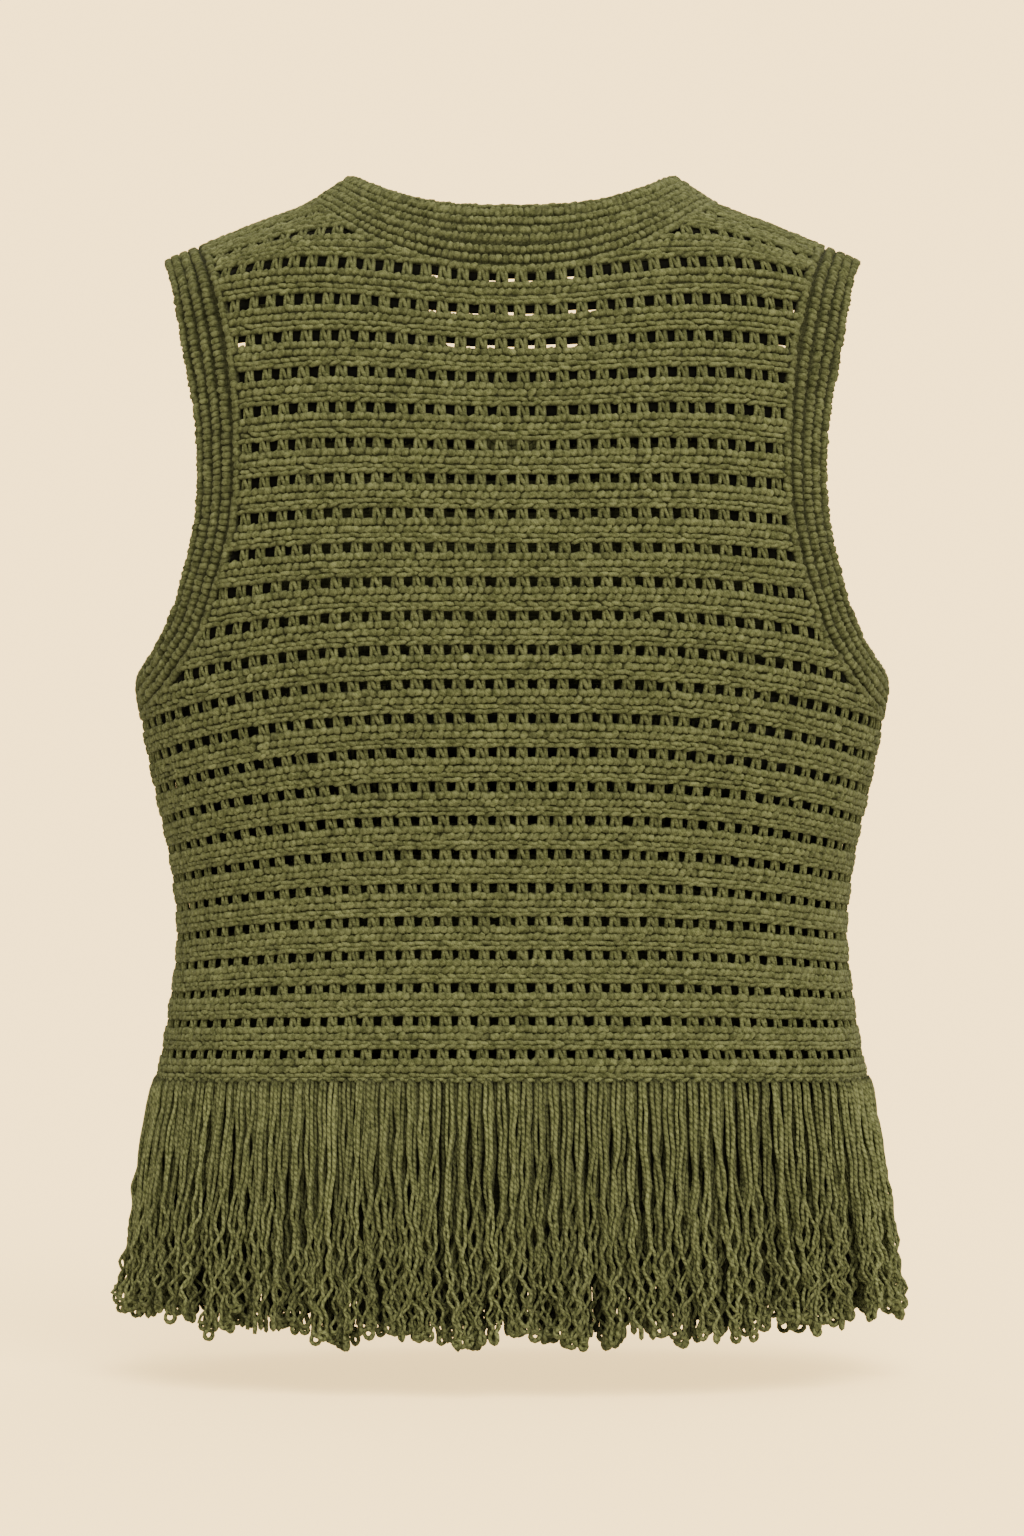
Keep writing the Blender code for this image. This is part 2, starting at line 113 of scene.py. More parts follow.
def smooth(at, keys, values):
    """A curve through a table's points: cubic pieces that have the neighbours' slopes."""
    slopes = np.gradient(values, keys)
    at = np.clip(at, keys[0], keys[-1])
    i = np.clip(np.searchsorted(keys, at) - 1, 0, len(keys) - 2)
    step = keys[i + 1] - keys[i]
    f = (at - keys[i]) / step
    return (
        values[i] * (1 + 2 * f) * (1 - f) ** 2
        + slopes[i] * step * f * (1 - f) ** 2
        + values[i + 1] * f**2 * (3 - 2 * f)
        - slopes[i + 1] * step * f**2 * (1 - f)
    )


def body(height, side):
    """The torso's half width and depth at a height."""
    heights, widths, *depths = BODY_SECTIONS.T
    return smooth(height, heights, widths), smooth(height, heights, depths[side == FRONT])


def signed_power(value, power):
    """A power that keeps the sign of what it is given."""
    return np.sign(value) * np.abs(value) ** power


def shoulder(angle):
    """The shoulder line's height above a column, and the height in which the cloth turns there."""
    across = BODY_SECTIONS[-1, 1] * np.abs(np.sin(angle)) ** (2 / OVALNESS)
    distances, heights, turns = SHOULDER_LINE.T
    return smooth(across, distances, heights), smooth(across, distances, turns)


def cloth(side, angle, sink):
    """The cloth's outer point: an oval section, drawn in over the shoulder along a quarter ellipse."""
    top, turn = shoulder(angle)
    height = top - sink**2
    half_width, depth = body(height, side)
    part = np.clip(sink**2 / turn, 0, 1)
    drawn_in = np.sign(sink) * np.sqrt(1 - (1 - part) ** 2)
    x = half_width * signed_power(np.sin(angle), 2 / OVALNESS)
    y = side * depth * signed_power(np.cos(angle), 2 / OVALNESS) * drawn_in
    return np.stack([x, y, height + 0 * x], axis=-1)


def unit(vectors):
    """Vectors made one long."""
    return vectors / np.maximum(np.linalg.norm(vectors, axis=-1, keepdims=True), 1e-12)


def outward(side, angle, sink):
    """The unit normal out of the body, square to the surface's two slopes."""
    step = 1e-4
    across = cloth(side, angle + step, sink) - cloth(side, angle - step, sink)
    down = cloth(side, angle, sink + step) - cloth(side, angle, sink - step)
    return unit(side * np.cross(across, down))


def place(side, x, z):
    """The angle and sink of the cloth's point at a distance from the centre and a height."""
    share = np.clip(np.abs(x) / body(z, side)[0], 0, 1)
    angle = np.sign(x) * np.arcsin(share ** (OVALNESS / 2))
    return angle, np.sqrt(np.maximum(shoulder(angle)[0] - z, 0))


def row_height(row, x):
    """A row's height: even steps, lower at the sides, and lifted beside the neck."""
    sag = smooth(row, *ROW_SAG.T) * (np.abs(x) / SAG_REACH) ** 3
    lift = NECK_LIFT * np.exp(-(row - FIRST_ROW) / NECK_LIFT_ROWS)
    lift = lift * np.sin(math.pi * np.clip(np.abs(x) / NECK_LIFT_REACH, 0, 1)) ** 2
    return FIRST_ROW_HEIGHT - ROW_PITCH * (row - FIRST_ROW) - smooth(row, *ROW_DROP.T) + lift - sag


def full_row_sink(side, angle, row):
    """The sink at which a column meets one of the rows below the neck band."""
    height = row_height(row, 0 * angle)
    for _ in range(6):
        x = body(height, side)[0] * np.abs(np.sin(angle)) ** (2 / OVALNESS)
        height = row_height(row, x)
    return np.sqrt(np.maximum(shoulder(angle)[0] - height, 0))


# The crochet's own measures: the columns of posts from side seam to side seam, and the chart of where
# each column and row lies on the form. Column 0 is the gap at the centre.
COLUMNS = 48
FINE_ANGLES = np.radians(np.linspace(-90, 90, 361))
ROW_STEPS = np.linspace(SEAM_ROW, HEM_ROW, 236)
COLUMN_STEPS = np.linspace(-COLUMNS / 2, COLUMNS / 2, 2 * COLUMNS + 1)
SINK_STEPS = 80


def run_length(points, axis=0):
    """The length of a line of points, from its first point to each."""
    steps = np.linalg.norm(np.diff(points, axis=axis), axis=-1)
    return np.insert(np.cumsum(steps, axis=axis), 0, 0, axis=axis)


def row_sinks(side):
    """The sink of every row step at every fine angle. Above row 1 the rows share the way to the seam."""
    sinks = full_row_sink(side, FINE_ANGLES[:, None], ROW_STEPS[None, :])
    above = ROW_STEPS < FIRST_ROW
    first = full_row_sink(side, FINE_ANGLES, np.array(float(FIRST_ROW)))
    ways = np.linspace(0, 1, SINK_STEPS) * first[:, None]
    share = (ROW_STEPS[above] - SEAM_ROW) / (FIRST_ROW - SEAM_ROW)
    for i, length in enumerate(run_length(cloth(side, FINE_ANGLES[:, None], ways), axis=1)):
        sinks[i, above] = np.interp(share * length[-1], length, ways[i])
    return sinks


def panel_chart(side):
    """Where each half column and row step lies, with the columns as even steps along every row."""
    sinks = row_sinks(side)
    length = run_length(cloth(side, FINE_ANGLES[:, None], sinks))
    share = (COLUMN_STEPS - COLUMN_STEPS[0]) / COLUMNS
    angles, depths = np.empty((2, len(share), len(ROW_STEPS)))
    for j in range(len(ROW_STEPS)):
        angles[:, j] = np.interp(share * length[-1, j], length[:, j], FINE_ANGLES)
        depths[:, j] = np.interp(angles[:, j], FINE_ANGLES, sinks[:, j])
    return {
        "angles": angles,
        "sinks": depths,
        "points": cloth(side, angles, depths),
        "normals": outward(side, angles, depths),
        "first": (COLUMN_STEPS[0], ROW_STEPS[0]),
        "step": (COLUMN_STEPS[1] - COLUMN_STEPS[0], ROW_STEPS[1] - ROW_STEPS[0]),
    }


def laid(chart, along, across, lift=0.0):
    """Points of a chart, each between the four nearest, raised off the cloth by a lift."""
    s = (along - chart["first"][0]) / chart["step"][0]
    t = (across - chart["first"][1]) / chart["step"][1]
    s, t, lift = np.broadcast_arrays(s, t, lift)
    count = chart["points"].shape
    i = np.clip(np.floor(s).astype(int), 0, count[0] - 2)
    j = np.clip(np.floor(t).astype(int), 0, count[1] - 2)
    a, b = (s - i)[..., None], (t - j)[..., None]

    def between(grid):
        near = grid[i, j] * (1 - b) + grid[i, j + 1] * b
        far = grid[i + 1, j] * (1 - b) + grid[i + 1, j + 1] * b
        return near * (1 - a) + far * a

    return between(chart["points"]) + unit(between(chart["normals"])) * lift[..., None]


def directions(chart, along, across):
    """The cloth's directions at a place: along the row, up from it seen from outside, and out."""
    step = chart["step"][0] / 4
    right = laid(chart, along + step, across) - laid(chart, along - step, across)
    out = laid(chart, along, across, 1.0) - laid(chart, along, across)
    right = unit(right - out * (right * out).sum(-1, keepdims=True))
    return right, np.cross(out, right), out


CHARTS = {side: panel_chart(side) for side in (BACK, FRONT)}

# Where the bands cut into the panels: the neckline, and the armholes from shoulder seam to underarm.
NECK_CORNER, NECK_OUTER_CORNER = (81, 27.5), (103, 13)
SHOULDER_SEAM_END, SHOULDER_TIP = 152.5, 174.5
NECK_EDGES = {
    # side: low point and power of the inner edge, and of the outer edge
    BACK: ((6.5, 2.6), (-29, 2.2)),
    FRONT: ((-84, 1.35), (-116, 1.35)),
}
ARM_EDGES = np.array([
    # along, and for the back and then the front: the inner edge from the centre, its height, and the outer
    (0, SHOULDER_SEAM_END, 0, SHOULDER_TIP, 0, SHOULDER_SEAM_END, 0, SHOULDER_TIP, 0),
    (0.12, 142, -31, 167, -38, 122, -30, 144, -27),
    (0.25, 136, -56, 162.5, -64, 107, -56, 130, -48),
    (0.42, 132, -100, 155.5, -102, 102, -96, 126, -86),
    (0.58, 133, -146, 155, -138, 106, -140, 130, -130),
    (0.72, 142, -180, 160.5, -168, 121, -178, 142, -164),
    (0.85, 158, -216, 169.5, -195, 145, -215, 161, -197),
    (0.93, 174, -235, 179.5, -213, 168, -236, 175.5, -215),
    (1, 184, -244.5, 187.5, -224, 184, -244.5, 187.5, -224),
])
ALONG = np.linspace(0, 1, 401)


def arm_edge(side, outer):
    """An armhole band's edge as angles and sinks, from the shoulder seam to the side seam. A mirrored
    point past each seam carries it over without a corner."""
    table = ARM_EDGES
    first = 1 + 4 * (side == FRONT) + 2 * outer
    x, z = table[:, first], table[:, first + 1]
    angle, sink = place(side, x, z)
    sink[0] = 0
    angle[-1] = math.pi / 2
    sink[-1] = np.sqrt(shoulder(angle[-1])[0] - z[-1])
    along = np.concatenate([[-table[1, 0]], table[:, 0], [2 - table[-2, 0]]])
    angle = np.concatenate([[angle[1]], angle, [math.pi - angle[-2]]])
    sink = np.concatenate([[-sink[1]], sink, [sink[-2]]])
    return smooth(ALONG, along, angle), smooth(ALONG, along, sink)


def nearest(value, steps):
    """The number of the nearest of a row of even steps."""
    return np.rint((value - steps[0]) / (steps[1] - steps[0])).astype(int).clip(0, len(steps) - 1)


def chart_places(side, angle, sink):
    """The column and row of a place given by its angle and sink, by turns from a near guess."""
    angles, sinks = CHARTS[side]["angles"], CHARTS[side]["sinks"]
    column = np.interp(angle, angles[:, 0], COLUMN_STEPS)
    for _ in range(12):
        i = nearest(column, COLUMN_STEPS)
        row = np.array([np.interp(s, sinks[k], ROW_STEPS) for s, k in zip(sink, i)])
        j = nearest(row, ROW_STEPS)
        column = np.array([np.interp(a, angles[:, k], COLUMN_STEPS) for a, k in zip(angle, j)])
    return column, row


def neck_places(side, x, outer):
    """The angles and sinks of a neckline edge. Its ends lie on the shoulder line."""
    low, power = NECK_EDGES[side][outer]
    reach, high = NECK_OUTER_CORNER if outer else NECK_CORNER
    height = low + (high - low) * (np.abs(x) / reach) ** power
    angle, sink = place(side, x, height)
    return angle, np.where(np.abs(x) > reach - 1e-6, 0, sink)


def panel_edges(side):
    """The columns at which each row step meets the neck band and the armhole band."""
    column, row = chart_places(side, *arm_edge(side, outer=False))
    row[0], row[-1] = SEAM_ROW, UNDERARM_ROW
    arm = np.interp(ROW_STEPS, np.maximum.accumulate(row), column)
    arm[ROW_STEPS >= UNDERARM_ROW] = COLUMNS / 2
    x = np.linspace(0, NECK_OUTER_CORNER[0], 200)
    column, row = chart_places(side, *neck_places(side, x, outer=True))
    neck = np.interp(-ROW_STEPS, -row, column, right=0, left=0)
    neck[ROW_STEPS > row[0]] = 0
    return neck, arm


EDGES = {side: panel_edges(side) for side in (BACK, FRONT)}


def edge_columns(side, row):
    """The columns at which a row meets the neck band and the armhole band."""
    return [np.interp(row, ROW_STEPS, edge) for edge in EDGES[side]]


def between_edges(side, row, places, inside, outside):
    """Those places along a row that lie between the bands, or a little past their edges."""
    inner, outer = edge_columns(side, row)
    return places[(np.abs(places) > inner - inside) & (np.abs(places) < outer + outside)]


def gathered(by_row):
    """All the columns of a list of rows, and the row of each."""
    rows, columns = zip(*by_row)
    return np.concatenate(columns), np.repeat(np.array(rows, float), [len(each) for each in columns])


# Cotton yarn
# A smooth worsted cotton, twisted from plies and dyed in the hank, so that lighter and darker fibres
# lie mixed. It is matt and has a short soft nap. Shade in the turns between stitches and in hollows is
# painted into its colour, which is mixed towards a near-black green.
OLIVE = (0.170, 0.183, 0.062, 1)
OLIVE_LIGHT = (0.280, 0.296, 0.118, 1)
OLIVE_DARK = (0.078, 0.088, 0.026, 1)
# The near-black green that painted shade mixes the yarn's colour towards.
PAINTED_SHADE_GREEN = (0.003, 0.003, 0.0008, 1)
HEATHER_SCALE, CLOUD_SCALE, FIBRE_SCALE = 420.0, 70.0, 1500.0
HEATHER_LIGHT, HEATHER_DARK, CLOUD_LIGHT = (2.6, -1.25), (-3.2, 1.75), 0.9
STITCH_REACH = {"Stitch X": 1.86, "Stitch Y": 2.02}
# Painted shade at a stitch's edge: where it starts, where it is full, and how dark it gets.
EDGE_SHADE_FROM, EDGE_SHADE_TO, EDGE_PAINTED_SHADE = 0.76, 0.97, 0.75
PLY_RELIEF, FIBRE_RELIEF, EDGE_FALL = 0.7, 0.4, -1.4
YARN_SURFACE = {
    "Roughness": 0.85,
    "Specular IOR Level": 0.12,
    "Sheen Weight": 0.08,
    "Sheen Roughness": 0.5,
    "Sheen Tint": (0.75, 0.74, 0.5, 1),
}


def linked(tree, kind, inputs, **settings):
    """A new shader node with its inputs linked or set and its settings given."""
    node = tree.nodes.new(kind)
    for name, value in settings.items():
        setattr(node, name, value)
    for name, value in inputs.items():
        if isinstance(value, bpy.types.NodeSocket):
            tree.links.new(value, node.inputs[name])
        else:
            node.inputs[name].default_value = value
    return node


def maths(tree, operation, first, second=0.0, third=0.0, **settings):
    """The result of one sum on sockets or numbers."""
    inputs = {0: first, 1: second, 2: third}
    return linked(tree, "ShaderNodeMath", inputs, operation=operation, **settings).outputs[0]


def mixed(tree, factor, first, second):
    """A colour between two others."""
    return linked(tree, "ShaderNodeMix", {0: factor, 6: first, 7: second}, data_type="RGBA").outputs[2]


def cotton_group():
    """The yarn's colour and relief. A ply's height is the sine of its turn, rounded. Two noises mix
    three olives. A stitch is one unit wide and high, painted with shade and falling away towards its
    edge, whose distance is the cube root of the sum of the cubes of the distances from its middle."""
    group = bpy.data.node_groups.new("twisted cotton", "ShaderNodeTree")
    inputs = ("Tone", "Crevice", "Along", "Around", "Ply Length", "Ply Shade", *STITCH_REACH)
    sockets = [(name, "INPUT", "NodeSocketFloat") for name in inputs]
    sockets += [("Color", "OUTPUT", "NodeSocketColor"), ("Height", "OUTPUT", "NodeSocketFloat")]
    for name, way, kind in sockets:
        group.interface.new_socket(name=name, in_out=way, socket_type=kind)
    given = group.nodes.new("NodeGroupInput").outputs
    at = group.nodes.new("ShaderNodeTexCoord").outputs["Object"]
    do = partial(maths, group)

    def noise(scale, detail, roughness=0.5):
        settings = {"Vector": at, "Scale": scale, "Detail": detail, "Roughness": roughness}
        return linked(group, "ShaderNodeTexNoise", settings).outputs["Fac"]

    turn = do("ADD", do("DIVIDE", given["Along"], given["Ply Length"]), given["Around"])
    ply = do("ABSOLUTE", do("SINE", do("MULTIPLY", turn, math.pi)))
    ply = do("POWER", ply, 0.5)
    heather = noise(HEATHER_SCALE, 3.0, 0.65)
    light = do("MULTIPLY_ADD", heather, *HEATHER_LIGHT)
    light = do("MULTIPLY_ADD", noise(CLOUD_SCALE, 2.0), CLOUD_LIGHT, light, use_clamp=True)
    dark = do("MULTIPLY_ADD", heather, *HEATHER_DARK, use_clamp=True)
    colour = mixed(group, light, OLIVE, OLIVE_LIGHT)
    colour = mixed(group, dark, colour, OLIVE_DARK)
    shade = do("MULTIPLY_ADD", do("SUBTRACT", ply, 1.0), given["Ply Shade"], 1.0)
    shade = do("MULTIPLY", shade, given["Tone"])
    toned = linked(group, "ShaderNodeVectorMath", {0: colour, "Scale": shade}, operation="SCALE")

    cubes = []
    for way, reach in STITCH_REACH.items():
        from_middle = do("MULTIPLY", do("SUBTRACT", do("FRACT", given[way]), 0.5), reach)
        cubes.append(do("POWER", do("ABSOLUTE", from_middle), 3.0))
    cube = do("ADD", *cubes)
    # Painted shade towards each stitch's edge, taken with the piece's own painted shade.
    edge = {0: do("POWER", cube, 1 / 3), 1: EDGE_SHADE_FROM, 2: EDGE_SHADE_TO, 4: EDGE_PAINTED_SHADE}
    edge_shade = linked(group, "ShaderNodeMapRange", edge, interpolation_type="SMOOTHSTEP")
    crevice = do("MAXIMUM", given["Crevice"], edge_shade.outputs["Result"])
    # The painted shade mixes the toned colour towards the near-black green.
    colour = mixed(group, crevice, toned.outputs["Vector"], PAINTED_SHADE_GREEN)
    relief = do("MULTIPLY", ply, PLY_RELIEF)
    relief = do("MULTIPLY_ADD", noise(FIBRE_SCALE, 2.0), FIBRE_RELIEF, relief)
    relief = do("MULTIPLY_ADD", cube, EDGE_FALL, relief)
    linked(group, "NodeGroupOutput", {"Color": colour, "Height": relief})
    return group


COTTON = cotton_group()


def cotton(name, ply_length, ply_shade, relief):
    """A yarn material: the cotton group fed by a piece's tone, crevices and coordinates."""
    material = bpy.data.materials.new(name)
    material.use_nodes = True
    tree = material.node_tree
    inputs = {"Ply Length": ply_length, "Ply Shade": ply_shade}
    # Each piece's tone and painted shade, read from its point attributes.
    for key in ("Tone", "Crevice"):
        inputs[key] = linked(tree, "ShaderNodeAttribute", {}, attribute_name=key.lower()).outputs["Fac"]
    for layer, keys in (("yarn", ("Along", "Around")), ("stitch", STITCH_REACH)):
        way = linked(tree, "ShaderNodeUVMap", {}, uv_map=layer).outputs["UV"]
        inputs.update(zip(keys, linked(tree, "ShaderNodeSeparateXYZ", {0: way}).outputs))
    group = linked(tree, "ShaderNodeGroup", inputs, node_tree=COTTON).outputs
    heights = {"Height": group["Height"], "Strength": 1.0, "Distance": relief}
    surface = tree.nodes["Principled BSDF"].inputs
    tree.links.new(group["Color"], surface["Base Color"])
    tree.links.new(linked(tree, "ShaderNodeBump", heights).outputs["Normal"], surface["Normal"])
    for key, value in YARN_SURFACE.items():
        surface[key].default_value = value
    return material


STITCH_YARN = cotton("stitch cotton", 1.1, 0.26, 0.00025)
LOOP_YARN = cotton("fringe cotton", 2.8, 0.55, 0.0005)


def piece(name, parts, material, slot, closed=False):
    """One mesh from parts, each with its points, a tone and a painted shade darkness at each point, and
    faces with yarn and stitch coordinates at their corners. A closed wall found inside out is turned."""
    base, corners, sizes, ways = 0, [], [], {"yarn": [], "stitch": []}
    for part in parts:
        for faces, *places in part["faces"]:
            corners.append(faces.ravel() + base)
            sizes.append(np.full(len(faces), faces.shape[1]))
            for way, at in zip(ways.values(), places):
                way.append(at.reshape(-1, 2))
        base += len(part["points"])
    points = np.concatenate([part["points"] for part in parts]) * MILLIMETRE
    corners, sizes = np.concatenate(corners), np.concatenate(sizes)
    mesh = bpy.data.meshes.new(name)
    mesh.vertices.add(len(points))
    mesh.vertices.foreach_set("co", points.ravel())
    mesh.loops.add(len(corners))
    mesh.loops.foreach_set("vertex_index", corners.astype(np.int32))
    mesh.polygons.add(len(sizes))
    mesh.polygons.foreach_set("loop_start", (np.cumsum(sizes) - sizes).astype(np.int32))
    mesh.update(calc_edges=True)
    for key, way in ways.items():
        mesh.uv_layers.new(name=key).data.foreach_set("uv", np.concatenate(way).ravel())
    for key in ("tone", "crevice"):
        values = np.concatenate([part[key] for part in parts]).astype(np.float32)
        mesh.attributes.new(key, "FLOAT", "POINT").data.foreach_set("value", values)
    if closed:
        mesh.calc_loop_triangles()
        corner = np.empty(3 * len(mesh.loop_triangles), np.int32)
        mesh.loop_triangles.foreach_get("vertices", corner)
        a, b, c = points[corner.reshape(-1, 3)].transpose(1, 0, 2)
        if (a * np.cross(b, c)).sum() < 0:
            mesh.flip_normals()
    mesh.shade_smooth()
    mesh.materials.append(material)
    made = placed(name, mesh)
    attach(made, "root")
    return made


# The solid rows' ground
# Under the raised stitches each solid row is a flat strip of close-worked yarn, as thick as the cloth.
# It runs from one armhole band to the other, or from seam to seam, and stops under the bands. Its
# outer face, seen only between the stitches, is painted with shade, and so is its inner face, the
# front's most darkly, so that the back's gaps look dark.
GAP_HALF = 0.15
SOLID_ROWS = range(int(SEAM_ROW - 0.5), LAST_ROW + 1)
GAP_ROWS = SOLID_ROWS[1:]
GROUND_SECTION = (
    # share of the way down the strip, height over the cloth, painted shade darkness
    (0.00, -1.9, 0.6),
    (0.10, -1.10, 0.6),
    (0.50, -0.75, 0.6),
    (0.90, -1.10, 0.6),
    (1.00, -1.9, 0.6),
    (0.90, -2.8, 0.3),
    (0.50, -3.0, 0.2),
    (0.10, -2.8, 0.3),
)
# Painted shade on the strips' inner faces, those below the inside lift: darkest on the front.
INSIDE_LIFT, INSIDE_PAINTED_SHADE = -2.0, {BACK: 0.25, FRONT: 0.85}
UNDER_BAND = 0.3
COLUMN_WIDTH = 10.0
STITCHES_A_COLUMN, STITCHES_HIGH = 2.7, 3.5
# The walls of the ground and the bands are toned darker than the stitches: painted shade, as they are seen
# between them.
WALL_SHADE_TONE, WALL_TURN = 0.8, 1.2


def grid_faces(index):
    """The four-sided faces of one or more grids of point numbers."""
    corners = (index[..., :-1, :-1], index[..., :-1, 1:], index[..., 1:, 1:], index[..., 1:, :-1])
    return np.stack([c.ravel() for c in corners], axis=1)


def tubes(points, yarn, stitch, tone, crevice, joined=False, capped=False):
    """Tubes from rings of points, joined to their own start, closed by end faces, or left open. Their
    coordinates are given at each ring's points and at its first again."""
    count, steps, size = points.shape[:3]
    index = np.arange(count * steps * size).reshape(count, steps, size)
    if joined:
        index = np.append(index, index[:, :1], axis=1)
    index = np.append(index, index[..., :1], axis=2)
    corners = grid_faces(np.arange(index.size).reshape(index.shape))
    ways = [
        np.stack([np.broadcast_to(at, index.shape) for at in way], axis=-1).reshape(-1, 2)[corners]
        for way in (yarn, stitch)
    ]
    faces = [(grid_faces(index), *ways)]
    if capped:
        caps = np.concatenate([index[:, 0, -2::-1], index[:, -1, :-1]])
        faces.append((caps, *(np.full((*caps.shape, 2), at) for at in (0.0, 0.5))))
    tone, crevice = (np.broadcast_to(at, (count, steps, size)).ravel() for at in (tone, crevice))
    return {"points": points.reshape(-1, 3), "faces": faces, "tone": tone, "crevice": crevice}


def wall(points, along, share, yarn, stitches, crevice, **ends):
    """A section's points carried along. A step has so much yarn, and so many stitches along and across."""
    turn = np.arange(len(share) + 1) * WALL_TURN
    high = np.append(share, share[0]) * stitches[1]
    along = (along * yarn, turn), (along * stitches[0], high)
    return tubes(points[None], *along, WALL_SHADE_TONE, crevice, **ends)


def solid_rows(side):
    """The top, bottom and hand of each solid row. The hand is 0 where the neck doesn't part it."""
    neck_low = ROW_STEPS[np.argmax(EDGES[side][0] <= 0)]
    for gap in SOLID_ROWS:
        top, bottom = max(gap + GAP_HALF, SEAM_ROW), min(gap + 1 - GAP_HALF, HEM_ROW)
        for hand in (1, -1) if top + 0.5 < neck_low else (0,):
            yield top, bottom, hand


def row_ends(side, row, hand):
    """The columns at which a solid row starts and ends, tucked under the bands."""
    inner, outer = edge_columns(side, row)
    inner = inner - UNDER_BAND
    outer = np.where(outer < COLUMNS / 2 - 0.01, outer + UNDER_BAND, outer)
    return {0: (-outer, outer), 1: (inner, outer), -1: (-outer, -inner)}[hand]


def strip(side, top, bottom, hand):
    """The ground of one solid row: the section carried along it."""
    share, lift, crevice = np.array(GROUND_SECTION).T
    crevice = np.where(lift < INSIDE_LIFT, INSIDE_PAINTED_SHADE[side], crevice)
    row = top + (bottom - top) * share
    first, last = row_ends(side, (top + bottom) / 2, hand)
    way = np.linspace(0, 1, max(4, int(last - first)) + 1)[:, None]
    start, end = row_ends(side, row, hand)
    along = start * (1 - way) + end * way
    points = laid(CHARTS[side], along, row, lift)
    along = np.append(along, along[:, :1], axis=1)
    stitches = (STITCHES_A_COLUMN, STITCHES_HIGH)
    return wall(points, along, share, COLUMN_WIDTH, stitches, crevice, capped=True)


# The posts
# Between two solid rows stand posts of three yarns, two upright and one slanting over them, and the
# gaps between the posts are open. A flat core behind each holds its yarns together. The cores, and
# each yarn's ends where it goes in under the solid rows, are painted with shade.
POST_YARNS = (
    # column at the top, column at the bottom, height over the cloth at the ends, at the middle, radius
    (-0.170, -0.215, -1.9, -1.25, 1.18),
    (0.170, 0.215, -1.9, -1.25, 1.18),
    (-0.15, 0.15, -1.7, -0.5, 1.0),
)
SIDE_NARROWING, NARROWING_POWER = 0.34, 3
POST_REACH, POST_SCATTER = 0.185, 0.045
POST_STEPS, YARN_SIDES = 3, 4
# The cores are painted with shade, and the cores and the shade sheets are toned darker, also as painted
# shade.
CORE_HALF, CORE_LIFTS, CORE_PAINTED_SHADE, SLAB_SHADE_TONE = 0.20, (-1.6, -2.6), 0.78, 0.75


def post_places(side, seed):
    """The columns and rows of all posts of a panel, each a little off its place."""
    rng = np.random.default_rng(seed)
    places = np.arange(-COLUMNS / 2, COLUMNS / 2) + 0.5
    columns, rows = gathered([(row, between_edges(side, row, places, 0.1, 0.1)) for row in GAP_ROWS])
    return columns + rng.normal(0, POST_SCATTER, len(columns)), rows, rng


def yarns(paths, radius, out, offsets, tone, crevice):
    """Yarn tubes: rings of points round a path, square to its direction. Their first axis is carried
    along from the direction out of the cloth, so that they don't twist."""
    ahead = unit(np.gradient(paths, axis=1))
    first, axis = np.empty_like(paths), out
    for step in range(paths.shape[1]):
        axis = unit(axis - ahead[:, step] * (axis * ahead[:, step]).sum(1, keepdims=True))
        first[:, step] = axis
    second = np.cross(ahead, first)
    turn = np.arange(YARN_SIDES) * math.tau / YARN_SIDES
    ring = first[:, :, None] * np.cos(turn)[:, None] + second[:, :, None] * np.sin(turn)[:, None]
    radius, crevice = (np.broadcast_to(at, paths.shape[:2])[..., None] for at in (radius, crevice))
    points = paths[:, :, None] + ring * radius[..., None]
    u = (run_length(paths, axis=1) + offsets[:, None])[..., None]
    v = np.arange(YARN_SIDES + 1) * 2 / YARN_SIDES
    tone = np.broadcast_to(tone, len(paths))[:, None, None]
    made = tubes(points, (u, v), (0.5, 0.5), tone, crevice)
    made["faces"] = [tuple(at[:, ::-1] for at in made["faces"][0])]
    return made


def narrowed(columns):
    """A post's share of its full width: less and less towards the side seams."""
    return 1 - SIDE_NARROWING * np.clip(np.abs(columns) / (COLUMNS / 2), 0, 1) ** NARROWING_POWER


def post_yarns(side, columns, rows, rng):
    """The three yarns of every post, bulging out in the middle."""
    count = len(columns)
    way = np.linspace(0, 1, POST_STEPS + 1)
    bulge = np.sin(math.pi * way)
    across = rows[:, None] - POST_REACH + 2 * POST_REACH * way
    out = directions(CHARTS[side], columns, rows)[2]
    parts = []
    for top, bottom, end_lift, middle_lift, radius in POST_YARNS:
        size = rng.normal(1, 0.07, count) * narrowed(columns)
        start = top * size + rng.normal(0, 0.012, count)
        stop = bottom * size + rng.normal(0, 0.015, count)
        along = columns[:, None] + start[:, None] * (1 - way) + stop[:, None] * way
        lift = end_lift + (middle_lift - end_lift) * bulge + rng.normal(0, 0.1, count)[:, None]
        paths = laid(CHARTS[side], along, across, lift)
        thick = radius * size[:, None] * (1 + 0.06 * np.cos(math.tau * way))
        # Each yarn is painted with shade towards its ends, under the solid rows.
        tone, crevice = rng.normal(1.0, 0.10, count), 0.45 * (1 - bulge) ** 2 + 0.05
        parts.append(yarns(paths, thick, out, rng.uniform(0, 6, count), tone, crevice))
    return parts


def slabs(side, columns, half, tops, bottoms, lifts, crevice):
    """Small closed boxes in the cloth, each round one column between its two rows."""
    half = np.broadcast_to(half, len(columns))[:, None, None]
    along = columns[:, None, None] + half * np.array((-1, 1, 1, -1))
    across = np.stack([tops, bottoms], axis=1)[:, :, None]
    points = laid(CHARTS[side], along, across, np.repeat(lifts[::-1], 2))
    return tubes(points, (0, 0), (0.5, 0.5), SLAB_SHADE_TONE, crevice, capped=True)


